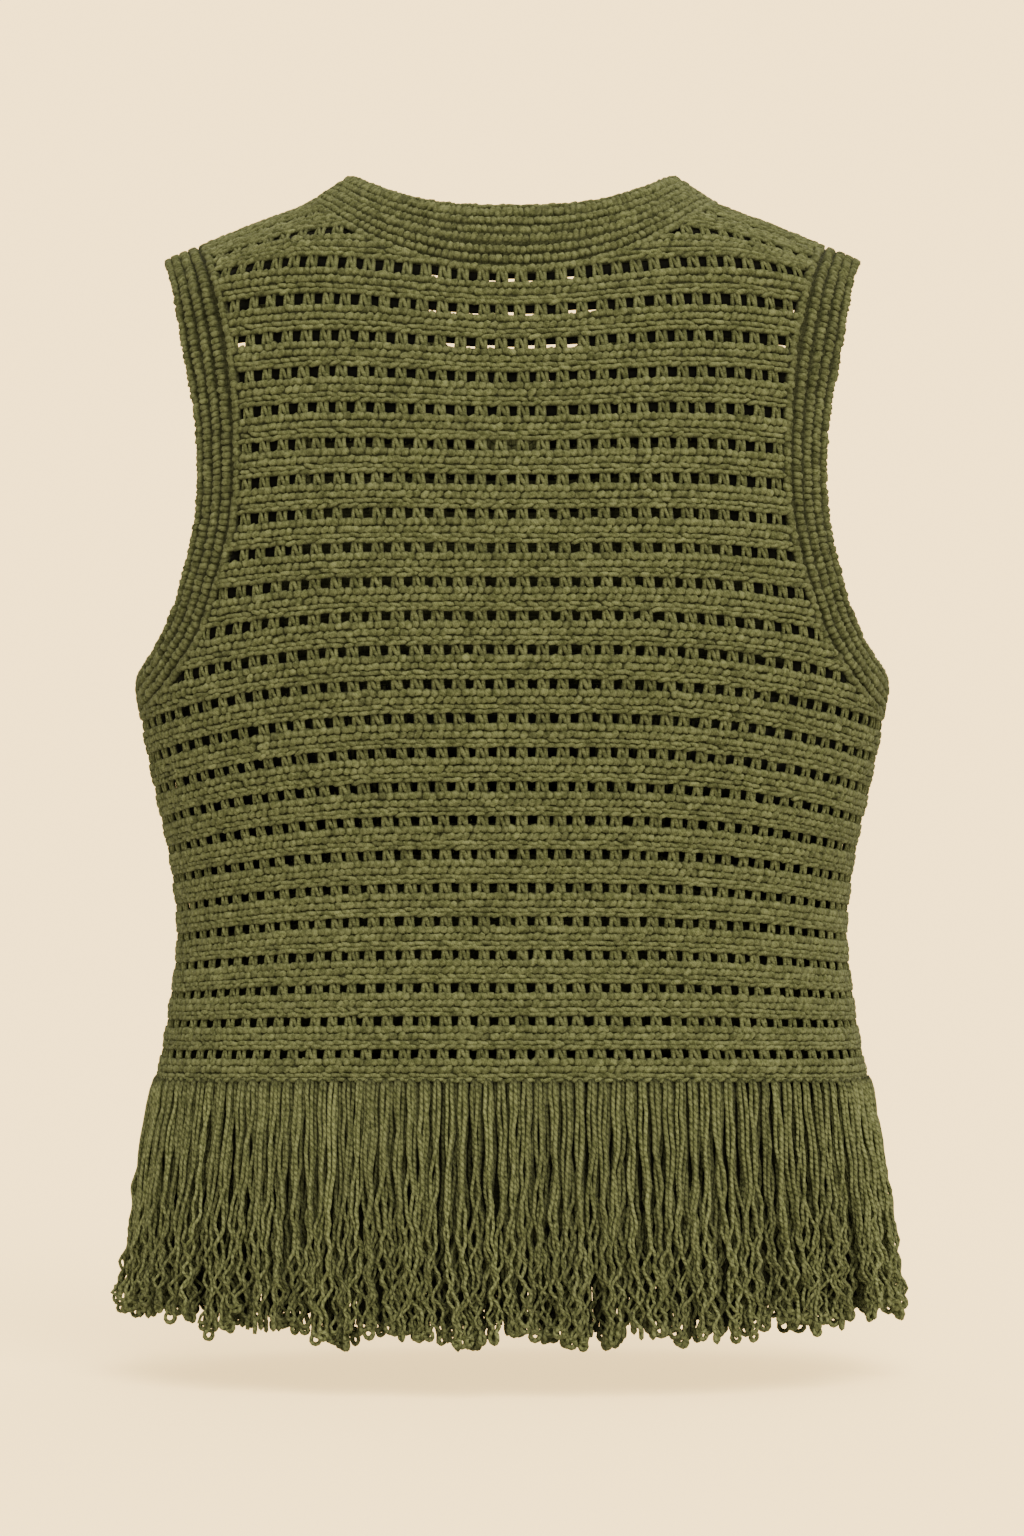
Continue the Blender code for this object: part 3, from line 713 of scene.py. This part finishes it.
# The stitches
# Each stitch shows as a plump turn of yarn, and is a low dome of a few faces. Below the gaps comes a
# row of round stitches, then a row of leaning ones, and last a chain of two slanting yarns side by side.
STITCH_ROWS = (
    # kind, row below the gap's centre, to a column, half length, half width, height, lean, base height,
    # and how far the lean strays
    ("round", 0.250, STITCHES_A_COLUMN, 2.50, 2.04, 1.80, 4, -1.25, 16),
    ("leaning", 0.466, STITCHES_A_COLUMN, 2.75, 1.86, 1.80, 24, -1.15, 16),
    ("chain", 0.650, 2.0, 3.60, 1.30, 1.60, -8, -1.10, 6),
    ("chain", 0.778, 2.0, 3.60, 1.32, 1.60, 8, -1.25, 6),
)
DOME_SIDES = 6
DOME_SQUARENESS = 0.68
DOME_ARCH, DOME_SHIFT = 0.28, 0.08
DOME_RINGS = (
    # share of the half size, share of the height, painted shade darkness
    (0.72, 0.84, 0.0),
    (1.05, 0.00, 0.5),
)
RIGHT_OVER = 0.8
PANEL_SPREADS = (0.032, 0.013, 0.07, 0.06, 0.06, 0.07)
TONE_SPREAD, TONE_LIMITS = 0.11, (0.6, 1.4)


def domes(chart, along, across, shape, spreads, tone, rng):
    """Plump stitches: rings of points round a top point, drawn out along the yarn and turned by its lean.
    One end stands higher and lies over its neighbour. The spreads say how far the place along and
    across, the three sizes and the base height stray."""
    count = len(along)
    along = along + rng.normal(0, spreads[0], count)
    across = across + rng.normal(0, spreads[1], count)
    sizes = [size * rng.normal(1, spread, count) for size, spread in zip(shape[:3], spreads[2:])]
    length, width, height = (size[:, None] for size in sizes)
    lean = np.radians(shape[3] + rng.normal(0, shape[5], count))[:, None]
    base = shape[4] + rng.normal(0, spreads[5], count)
    tone = tone * rng.normal(1, TONE_SPREAD, count).clip(*TONE_LIMITS)

    right, up, out = directions(chart, along, across)
    one = right * np.cos(lean) + up * np.sin(lean)
    two = up * np.cos(lean) - right * np.sin(lean)
    turn = np.arange(DOME_SIDES) * math.tau / DOME_SIDES
    outline = signed_power(np.stack([np.cos(turn), np.sin(turn)], axis=1), DOME_SQUARENESS)
    share, high, dark = np.array(DOME_RINGS).T
    flat = np.concatenate([np.zeros((1, 2)), *(share[:, None, None] * outline)])
    rise = np.append(1, np.repeat(high, DOME_SIDES))
    # Painted shade round each dome's foot, where it meets its neighbours.
    dark = np.append(0, np.repeat(dark, DOME_SIDES))
    over = np.where(rng.random(count) < RIGHT_OVER, 1, -1)[:, None]
    x = (flat[:, 0] + DOME_SHIFT * over * (rise > 0)) * length
    y = flat[:, 1] * width
    rise = rise * (1 + DOME_ARCH * over * flat[:, 0])
    points = laid(chart, along, across, base)[:, None]
    for way, far in ((one, x), (two, y), (out, rise * height)):
        points = points + way[:, None] * far[..., None]
    ring = np.arange(DOME_SIDES)
    after = (ring + 1) % DOME_SIDES
    tip = np.stack([0 * ring, 1 + ring, 1 + after], axis=1)
    sides = np.stack([1 + ring, 1 + DOME_SIDES + ring, 1 + DOME_SIDES + after, 1 + after], axis=1)
    size = len(flat)
    shift = size * np.arange(count)[:, None, None]
    places = np.stack([x + rng.uniform(0, 3, count)[:, None], y * 0.55], axis=-1).reshape(-1, 2)
    tips, walls = (shift + tip).reshape(-1, 3), (shift + sides).reshape(-1, 4)
    stitch = np.tile((0.5 + 0.47 * flat).clip(0.01, 0.99), (count, 1))
    return {
        "points": points.reshape(-1, 3),
        "faces": [(tips, places[tips], stitch[tips]), (walls, places[walls], stitch[walls])],
        "tone": np.repeat(tone, size),
        "crevice": np.tile(dark, count),
    }


def panel_stitches(side, kinds, seed):
    """All the stitches of some kinds. Every second row starts half a stitch on."""
    rng = np.random.default_rng(seed)
    parts = []
    for number, (kind, below, each, *shape) in enumerate(STITCH_ROWS):
        if kind not in kinds:
            continue
        by_row, half = [], int(COLUMNS * each / 2) + 1
        for row in np.array(SOLID_ROWS) + below:
            if SEAM_ROW + 0.1 <= row <= HEM_ROW - 0.03:
                shift = 0.5 * (number % 2) + rng.uniform(-0.2, 0.2)
                places = (np.arange(-half, half) + shift) / each
                places = places[np.abs(places) < COLUMNS / 2]
                by_row.append((row, between_edges(side, row, places, 0.15, 0.1)))
        columns, rows = gathered(by_row)
        parts.append(domes(CHARTS[side], columns, rows, shape, PANEL_SPREADS, 1, rng))
    return parts


# The sheets of painted shade
# Where no daylight shows through, a thin sheet painted in full shade lies behind the gaps, so that
# they look dark: behind all of the front's, and behind those of the back that would look out past the
# front's edges. A few near the neck reach only part of the way down, so that the light behind glints
# under them.
SHADE_SHEET_ROWS, SHADE_SHEET_ARM_COLUMNS = 5, 3.4
SHADE_SHEET_HALF, SHADE_SHEET_REACH, SHADE_SHEET_LIFTS, SHADE_SHEET_DARKNESS = 0.42, 0.22, (-2.5, -2.9), 1.0
SHADE_SHEET_INSIDE, SHADE_SHEET_OUTSIDE = 0.7, 0.5
GLINT_COLUMNS = 4.5
GLINT_CHANCES = {1: (0.3, 0.04), 2: (0.95, 0.3), 3: (0.9, 0.15), 4: (0.15, 0)}
GLINT_SHARES = (0.52, 0.71)


def shade_sheets(side, seed):
    """The sheets of painted shade behind a panel's gaps."""
    rng = np.random.default_rng(seed)
    by_row, shares = [], []
    for row in GAP_ROWS:
        places = np.arange(-COLUMNS / 2, COLUMNS / 2 + 1)
        places = between_edges(side, row, places, SHADE_SHEET_INSIDE, SHADE_SHEET_OUTSIDE)
        if side == BACK and row > SHADE_SHEET_ROWS:
            near_arm = np.abs(places) > edge_columns(side, row)[1] - SHADE_SHEET_ARM_COLUMNS
            places = places[near_arm & (row <= UNDERARM_ROW)]
        share = np.ones(len(places))
        if side == BACK:
            near_neck = np.abs(places) < GLINT_COLUMNS
            chances = np.where(near_neck, *GLINT_CHANCES.get(row, (0, 0)))
            glint = rng.random(len(places)) < chances
            share = np.where(glint, rng.uniform(*GLINT_SHARES, len(places)), share)
        by_row.append((row, places))
        shares.append(share)
    columns, rows = gathered(by_row)
    tops = rows - SHADE_SHEET_REACH
    bottoms = tops + 2 * SHADE_SHEET_REACH * np.concatenate(shares)
    # Each sheet is a small closed box, painted in full shade.
    return slabs(side, columns, SHADE_SHEET_HALF, tops, bottoms, SHADE_SHEET_LIFTS, SHADE_SHEET_DARKNESS)


# The back and the front
# Two panels worked flat in the same stitch and sewn at the shoulders and the sides. The front has the
# lower neckline and the deeper armholes.
def panel(side, name, seed):
    """A whole panel: its sheets of painted shade, ground strips and post cores, its posts, and its
    stitches.
    """
    columns, rows, rng = post_places(side, seed)
    tops, bottoms = rows - POST_REACH, rows + POST_REACH
    grounds = [
        shade_sheets(side, seed + 3),
        *(strip(side, *row) for row in solid_rows(side)),
        slabs(side, columns, CORE_HALF * narrowed(columns), tops, bottoms, CORE_LIFTS, CORE_PAINTED_SHADE),
    ]
    made = partial(piece, material=STITCH_YARN, slot="openwork_yarn")
    return (
        made(f"{name}_ground", grounds, closed=True),
        made(f"{name}_posts", post_yarns(side, columns, rows, rng)),
        made(f"{name}_stitches", panel_stitches(side, ("round", "leaning"), seed + 1)),
        made(f"{name}_chains", panel_stitches(side, ("chain",), seed + 2)),
    )


back = panel(BACK, "back", 21)
front = panel(FRONT, "front", 31)
for name, parts in (("back_panel", back), ("front_panel", front)):
    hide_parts(name)

# The neck and armhole bands
# Each band is worked round and round on the panel's edge in rows of plump stitches, which lie in
# pairs with a deep line between. The neck's last row is of tall stitches with a thin lip over them.
NECK = {
    "stitch": 3.15,
    "rows": 7.6,
    "tone": 0.97,
    "stitches": (
        # place across, half length, half width, height, lean in degrees, base height,
        # and how far the lean strays
        (0.42, 2.60, 1.95, 2.1, 12, -1.5, 14),
        (1.42, 2.02, 2.18, 2.0, 6, -1.5, 14),
        (2.42, 2.02, 2.18, 2.0, 14, -1.4, 14),
        (3.55, 2.60, 1.80, 2.0, 56, -1.4, 14),
        (4.55, 2.02, 2.14, 2.0, 6, -1.5, 14),
        (5.58, 2.02, 2.14, 2.0, 8, -1.4, 14),
        (6.68, 3.00, 1.80, 1.9, 76, -1.4, 14),
        (7.48, 2.90, 1.20, 1.6, 3, -1.9, 4),
    ),
}
ARM = {
    "stitch": 3.1,
    "rows": 5.0,
    # The armhole band is toned darker: painted shade, as it lies in the armhole's shade.
    "tone": 0.86,
    "stitches": (
        (0.42, 2.60, 2.05, 2.1, 14, -1.5, 14),
        (1.45, 2.00, 2.45, 2.1, -18, -1.4, 14),
        (2.48, 2.00, 2.45, 2.1, 20, -1.4, 14),
        (3.52, 2.00, 2.45, 2.1, -15, -1.4, 14),
        (4.55, 2.40, 2.05, 2.0, 10, -1.6, 14),
    ),
}
BAND_SECTION = (
    # share of the way across, height over the cloth, painted shade darkness
    (0.00, -2.4, 0.6),
    (0.03, -1.3, 0.6),
    (0.50, -1.0, 0.6),
    (0.97, -1.3, 0.6),
    (1.00, -2.4, 0.6),
    (0.80, -3.2, 0.25),
    (0.50, -3.3, 0.2),
    (0.20, -3.2, 0.25),
)
BAND_ACROSS_STEPS, BAND_PAST = 24, 3
BAND_SPREADS = (0.05, 0.04, 0.08, 0.07, 0.06, 0.08)


def band_chart(edges, sizes):
    """A chart of a closed band, with stitches along it and rows across, which repeats a little past
    its start. Its two edges are given as angles and sinks for each side."""
    sides = []
    share = np.linspace(0, 1, BAND_ACROSS_STEPS + 1)
    for side, near, far in edges:
        place_at = [a[:, None] * (1 - share) + b[:, None] * share for a, b in zip(near, far)]
        sides.append(np.stack([cloth(side, *place_at), outward(side, *place_at)]))
    closed = np.concatenate([sides[0], sides[1][:, -2:0:-1], sides[0][:, :1]], axis=1)
    length = run_length(closed[0][:, BAND_ACROSS_STEPS // 2])
    count = int(round(length[-1] / sizes["stitch"]))
    at = (np.arange(-BAND_PAST, count + BAND_PAST + 0.5, 0.5) % count) / count * length[-1]
    chart = {"first": (-BAND_PAST, 0.0), "step": (0.5, sizes["rows"] / BAND_ACROSS_STEPS)}
    for key, grid in zip(("points", "normals"), closed):
        lines = grid.reshape(len(length), -1).T
        even = np.stack([np.interp(at, length, line) for line in lines], axis=1)
        chart[key] = even.reshape(len(at), -1, 3)
    return chart, count


def band(name, chart, count, sizes, seed):
    """A whole band: a wall carried round to its own start, and the rows of stitches on it."""
    share, lift, crevice = np.array(BAND_SECTION).T
    along, rows = np.arange(count + 1.0)[:, None], sizes["rows"]
    points = laid(chart, along[:-1], share * rows, lift)
    around = wall(points, along, share, sizes["stitch"], (1, round(rows)), crevice, joined=True)
    rng = np.random.default_rng(seed)
    stitches = []
    for number, (across, *shape) in enumerate(sizes["stitches"]):
        along = np.arange(count) + 0.5 * (number % 2)
        stitches.append(domes(chart, along, across, shape, BAND_SPREADS, sizes["tone"], rng))
    ground = piece(f"{name}_ground", [around], STITCH_YARN, "band_yarn", closed=True)
    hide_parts(name)
    return ground, piece(f"{name}_stitches", stitches, STITCH_YARN, "band_yarn")


def neck_edges(side):
    """The neck band's two edges, at even steps along the lower."""
    x = np.sin(np.linspace(-math.pi / 2, math.pi / 2, 401)) * NECK_OUTER_CORNER[0]
    length = run_length(cloth(side, *neck_places(side, x, outer=True)))
    x = np.interp(np.linspace(0, length[-1], 241), length, x)
    high = neck_places(side, x * NECK_CORNER[0] / NECK_OUTER_CORNER[0], outer=False)
    return side, neck_places(side, x, outer=True), high


neck = band("neck_band", *band_chart([neck_edges(BACK), neck_edges(FRONT)], NECK), NECK, 41)

arm_edges = [(side, arm_edge(side, outer=False), arm_edge(side, outer=True)) for side in (BACK, FRONT)]
arm_chart, arm_count = band_chart(arm_edges, ARM)
for hand, name in ((-1, "armhole_band_left"), (1, "armhole_band_right")):
    mirrored = {key: arm_chart[key] * (hand, 1, 1) for key in ("points", "normals")}
    band(name, arm_chart | mirrored, arm_count, ARM, 51 + hand)

# The fringe
# Loops of the same cotton are knotted into the hem edge, side by side in five depths, the deeper ones
# painted with more shade. The two legs of a loop hang close and straight, then curl and cross each
# other more and more, and close in a small ring. Each loop is painted with shade where it goes in under
# the hem. A last inner depth of plainer loops, always in the dark, fills the hem behind them, and its
# shade is painted into its tone and colour.
LOOPS = {BACK: 370, FRONT: 262}
INNER_LOOPS = 150
LOOP_RADIUS, TIP_THINNING, RING_THICKNESS, RING_RADIUS = 1.10, 0.20, 1.12, 2.15
LEG_STEPS = np.array([0, 0.02, 0.06, 0.13, 0.21, 0.29, 0.37, 0.44, *np.linspace(0.50, 1, 22)])
RING_STEPS, RING_FROM, RING_ROUND = 7, 60, 300
END_SIDE, END_CENTRE, END_SCATTER = -533, -540.5, 3.6
END_SWELLS = ((2.6, 6.3, 1.0), (1.8, 3.4, 2.0))
FLARE_SIDE, FLARE_CENTRE, FLARE_POWER, FLARE_LOST = 16.5, 12, 0.75, 0.18
DEPTHS, FIRST_DEPTH, DEPTH_STEP_TOP, DEPTH_STEP = 5, -0.6, 0.9, 1.55
# Painted shade for each depth of loops, more the deeper they hang.
DEPTH_PAINTED_SHADE = np.array((0.0, 0.22, 0.48, 0.68, 0.82))
GROUP_WAVES = ((0.9, 0.5), (1.45, 1.3), (2.4, 1.5), (4.1, 1.6))
WANDERS = {
    # name: cycles down a leg, size at the top and at the end, power of its growth
    "sideways": ((0.7, 1.6), (0.2, 1.6), 1.5),
    "outwards": ((0.6, 1.4), (0.2, 1.8), 2),
    "curl": ((2.2, 4.6), (0.55, 1.6), 2.2),
    "crimp": ((7.0, 11.0), (0.10, 2.1), 3.0),
    "inner": ((0.8, 2.2), (0.1, 0.9), 1),
}
TIP_DRIFT, CROSSED_SHARE, RIGHT_HANDED, TURNS = 2.8, 0.75, 0.8, (0.5, 2.4)
LOOP_TONE, LOOP_TONE_SPREAD, LOOP_TONE_LIMITS = 1.16, 0.13, (0.75, 1.45)
# Painted shade where a loop goes in under the hem edge, over this share of its length.
HEM_SHADE_DARKNESS, HEM_SHADE_SHARE = 0.8, 0.03
INNER_DEPTH, INNER_SHORT, INNER_SCATTER, INNER_STEPS = -5.2, 3.0, 2.0, 10
# The inner loops' low tone and their darkness are painted shade.
INNER_THICKNESS, INNER_FLARE, INNER_SHADE_TONE, INNER_PAINTED_SHADE = 1.2, 0.35, 0.6, 0.8
UP = np.array((0, 0, 1.0))


def hem_places(side, columns, depth):
    """Where loops start under the hem edge, and the level directions along the hem and out of it."""
    right, _, out = directions(CHARTS[side], columns, HEM_ROW - 0.2)
    root = laid(CHARTS[side], columns, HEM_ROW - 0.08, depth)
    return root, unit(right * (1, 1, 0)), unit(out * (1, 1, 0))


def waves(rng, at, wander):
    """A yarn's own wander: a wave of random phase that grows from the top to the end."""
    cycles, sizes, power = WANDERS[wander]
    turn = rng.uniform(*cycles, len(at))[:, None] * at + rng.random(len(at))[:, None]
    return (sizes[0] + (sizes[1] - sizes[0]) * at**power) * np.sin(math.tau * turn)


def group_sway(columns, at, depth, rng):
    """The sway that neighbours share, so loops hang in groups with gaps where deeper, shade-painted loops
    show.
    """
    sway = 0
    for period, size in GROUP_WAVES:
        start = rng.uniform(0, math.tau, DEPTHS)[depth][:, None]
        phase = math.tau * columns[:, None] / period + start
        drift = rng.uniform(-2.5, 2.5, DEPTHS)[depth][:, None]
        sway = sway + size * ((0.3 + 0.8 * at) * np.sin(phase + drift * at) - 0.3 * np.sin(phase))
    return sway


def hung(root, drop, at, x, right, y, out):
    """Paths that hang down from their roots, moved sideways by x and outwards by y on the way."""
    moved = x[..., None] * right[:, None] + y[..., None] * out[:, None]
    return root[:, None] + moved - (drop[:, None] * at)[..., None] * UP


def fringe_ends(root, columns):
    """The height and flare of the fringe's end at each root, with its swells."""
    centred = 1 - (np.abs(root[:, 0]) / BODY_SECTIONS[0, 1]) ** 2
    end = END_SIDE + (END_CENTRE - END_SIDE) * centred
    swell = sum(size * np.sin(math.tau * columns / period + phase) for size, period, phase in END_SWELLS)
    return end + swell, FLARE_SIDE + (FLARE_CENTRE - FLARE_SIDE) * centred


def loops(side, rng):
    """The loops on one hem: each one tube down a leg, round the ring and up the other leg."""
    count = LOOPS[side]
    margin = COLUMNS / 2 - 0.15
    columns = np.linspace(-margin, margin, count) + rng.normal(0, 0.035, count)
    columns = columns.clip(-margin, margin)
    depth = np.arange(count) % DEPTHS
    root, right, out = hem_places(side, columns, FIRST_DEPTH - DEPTH_STEP_TOP * depth)
    end, flare = fringe_ends(root, columns)
    drop = root[:, 2] - (end + np.abs(rng.normal(0, END_SCATTER, count)) + 0.5 * depth)
    flare = flare * (1 - FLARE_LOST * depth) + rng.normal(0, 1.0, count)

    at = np.broadcast_to(LEG_STEPS, (count, len(LEG_STEPS)))
    drift = rng.normal(0, TIP_DRIFT, (2, count, 1)) * at**5
    sway = group_sway(columns, at, depth, rng) * count / LOOPS[BACK]
    x = sway + waves(rng, at, "sideways") + drift[0]
    y = flare[:, None] * at**FLARE_POWER + waves(rng, at, "outwards") + 0.6 * drift[1]
    y = y - ((DEPTH_STEP - DEPTH_STEP_TOP) * depth)[:, None] * np.clip(at / 0.1, 0, 1)
    y = y + 0.9 * np.exp(-(((at - 0.04) / 0.04) ** 2))

    closing = 1 - np.clip((at - 0.93) / 0.07, 0, 1) ** 2
    crossed = np.where(rng.random(count) < CROSSED_SHARE, -1, 1)[:, None]
    split = np.where(crossed < 0, LOOP_RADIUS, 0)
    start = rng.uniform(-0.6, 0.6, count) + math.pi * (rng.random(count) < 0.5)
    hand = np.where(rng.random(count) < RIGHT_HANDED, 1, -1)
    turn = start[:, None] + hand[:, None] * math.tau * rng.uniform(*TURNS, count)[:, None] * at**1.8
    apart = LOOP_RADIUS * (0.35 + 0.7 * np.clip(at / 0.025, 0, 1) + 0.3 * at**2)
    legs = []
    for leg in (1, -1):
        own = [
            waves(rng, at, "curl") * closing * np.clip(at / 0.12, 0, 1) + waves(rng, at, "crimp") * closing
            for _ in range(2)
        ]
        leg_x = x + leg * apart * np.cos(turn) + own[0]
        leg_y = y + leg * apart * np.sin(turn) + 0.8 * own[1] + leg * split * (1 - closing)
        legs.append(hung(root, drop, at, leg_x, right, leg_y, out))

    tip = (legs[0][:, -1] + legs[1][:, -1]) / 2
    across = unit((legs[0][:, -1] - tip) * (1, 1, 0))
    way = np.linspace(0, 1, RING_STEPS + 2)[1:-1]
    angle = np.radians(RING_FROM) - way * np.radians(RING_ROUND)
    size = RING_RADIUS * rng.uniform(0.8, 1.3, count)[:, None]
    ring = (tip - UP * (size * 0.95))[:, None]
    x, y, z = crossed * size * np.cos(angle), split * (1 - 2 * way), size * np.sin(angle)
    ring = ring + across[:, None] * x[..., None] + UP * z[..., None] + out[:, None] * y[..., None]
    paths = np.concatenate([legs[0], ring, legs[1][:, ::-1]], axis=1)
    share = np.concatenate([LEG_STEPS, np.ones(RING_STEPS), LEG_STEPS[::-1]])
    thickness = np.where(share < 1, 1 - TIP_THINNING * share**2, RING_THICKNESS)
    radius = LOOP_RADIUS * rng.uniform(0.88, 1.1, count)[:, None] * thickness
    tone = rng.normal(LOOP_TONE, LOOP_TONE_SPREAD, count).clip(*LOOP_TONE_LIMITS)
    # Painted shade: full under the hem edge, more on the deeper loops, and less down each leg.
    hem_shade = HEM_SHADE_DARKNESS * np.clip(1 - share / HEM_SHADE_SHARE, 0, 1)
    crevice = (hem_shade + DEPTH_PAINTED_SHADE[depth][:, None] * (1.1 - 0.45 * share)).clip(0, 1)
    return yarns(paths, radius, out, rng.uniform(0, 8, count), tone, crevice)


def inner_loops(side, rng):
    """The plainer loops behind, each one tube down a leg and up the other."""
    columns = np.linspace(-COLUMNS / 2, COLUMNS / 2, INNER_LOOPS)
    root, right, out = hem_places(side, columns, INNER_DEPTH)
    end, flare = fringe_ends(root, columns)
    drop = root[:, 2] - (end + INNER_SHORT + np.abs(rng.normal(0, INNER_SCATTER, INNER_LOOPS)))
    at = np.broadcast_to(np.linspace(0, 1, INNER_STEPS), (INNER_LOOPS, INNER_STEPS))
    legs = []
    for leg in (1, -1):
        x = leg * LOOP_RADIUS + waves(rng, at, "inner")
        y = INNER_FLARE * flare[:, None] * at + waves(rng, at, "inner")
        legs.append(hung(root, drop, at, x, right, y, out))
    paths = np.concatenate([legs[0], legs[1][:, ::-1]], axis=1)
    offsets = rng.uniform(0, 8, INNER_LOOPS)
    return yarns(paths, INNER_THICKNESS * LOOP_RADIUS, out, offsets, INNER_SHADE_TONE, INNER_PAINTED_SHADE)


def fringe(side, name, node, seed):
    """One side's whole fringe: its loops, which show, and the inner ones behind them."""
    rng = np.random.default_rng(seed)
    made = piece(name, [loops(side, rng)], LOOP_YARN, "fringe_yarn")
    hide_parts(node)
    return made, piece(f"{name}_inner", [inner_loops(side, rng)], LOOP_YARN, "fringe_yarn")


back_fringe = fringe(BACK, "back_fringe", "fringe_back", 61)
front_fringe = fringe(FRONT, "front_fringe", "fringe_front", 71)

# The studio
# A plain pale floor lies just under the fringe and runs on as far as can be seen, under an even pale
# sky. One broad soft lamp stands high in front of the back, and a weaker one behind the front.
FLOOR_HEIGHT, FLOOR_REACH = -0.570, 60.0
PALE, SKY_LIGHT = (0.84, 0.80, 0.74, 1), 0.46
SKY_SEEN, FLOOR_SEEN = (4.22, 2.92, 1.215, 1), (3.76, 2.71, 1.19, 1)
FLOOR_EVEN = 0.5
LAMP_COLOUR = (1.0, 0.975, 0.94)
LAMPS = (
    # name, azimuth, elevation, spread in degrees, strength
    ("key", 16, 50, 45, 2.16),
    ("fill", 165, 45, 70, 0.9),
)


def seen_apart(tree, output, lit, seen):
    """One shader that gives the light, and another in its place where the camera looks."""
    camera_ray = tree.nodes.new("ShaderNodeLightPath").outputs["Is Camera Ray"]
    both = linked(tree, "ShaderNodeMixShader", {0: camera_ray, 1: lit.outputs[0], 2: seen.outputs[0]})
    tree.links.new(both.outputs[0], tree.nodes[output].inputs["Surface"])


floor_mesh = bpy.data.meshes.new("floor")
corners = np.array([(-1, -1, 0), (1, -1, 0), (1, 1, 0), (-1, 1, 0)]) * FLOOR_REACH + (0, 0, FLOOR_HEIGHT)
floor_mesh.from_pydata(corners, [], [(0, 1, 2, 3)])
floor_paint = bpy.data.materials.new("floor paint")
floor_paint.use_nodes = True
paint = floor_paint.node_tree
paint.nodes.remove(paint.nodes["Principled BSDF"])
lit = linked(paint, "ShaderNodeBsdfDiffuse", {"Color": PALE})
shaded = linked(paint, "ShaderNodeBsdfDiffuse", {"Color": FLOOR_SEEN})
even = linked(paint, "ShaderNodeEmission", {"Color": SKY_SEEN})
seen = linked(paint, "ShaderNodeMixShader", {0: FLOOR_EVEN, 1: shaded.outputs[0], 2: even.outputs[0]})
seen_apart(paint, "Material Output", lit, seen)
floor_mesh.materials.append(floor_paint)
floor = placed("floor", floor_mesh)

world = bpy.data.worlds.new("studio")
world.use_nodes = True
bpy.context.scene.world = world
sky = world.node_tree
seen = sky.nodes["Background"]
seen.inputs["Color"].default_value = SKY_SEEN
lighting = linked(sky, "ShaderNodeBackground", {"Color": PALE, "Strength": SKY_LIGHT})
seen_apart(sky, "World Output", lighting, seen)

for name, azimuth, elevation, spread, strength in LAMPS:
    lamp = bpy.data.lights.new(name, "SUN")
    lamp.energy = strength
    lamp.angle = math.radians(spread)
    lamp.color = LAMP_COLOUR
    placed(name, lamp).rotation_euler = np.radians((90 - elevation, 0, azimuth))
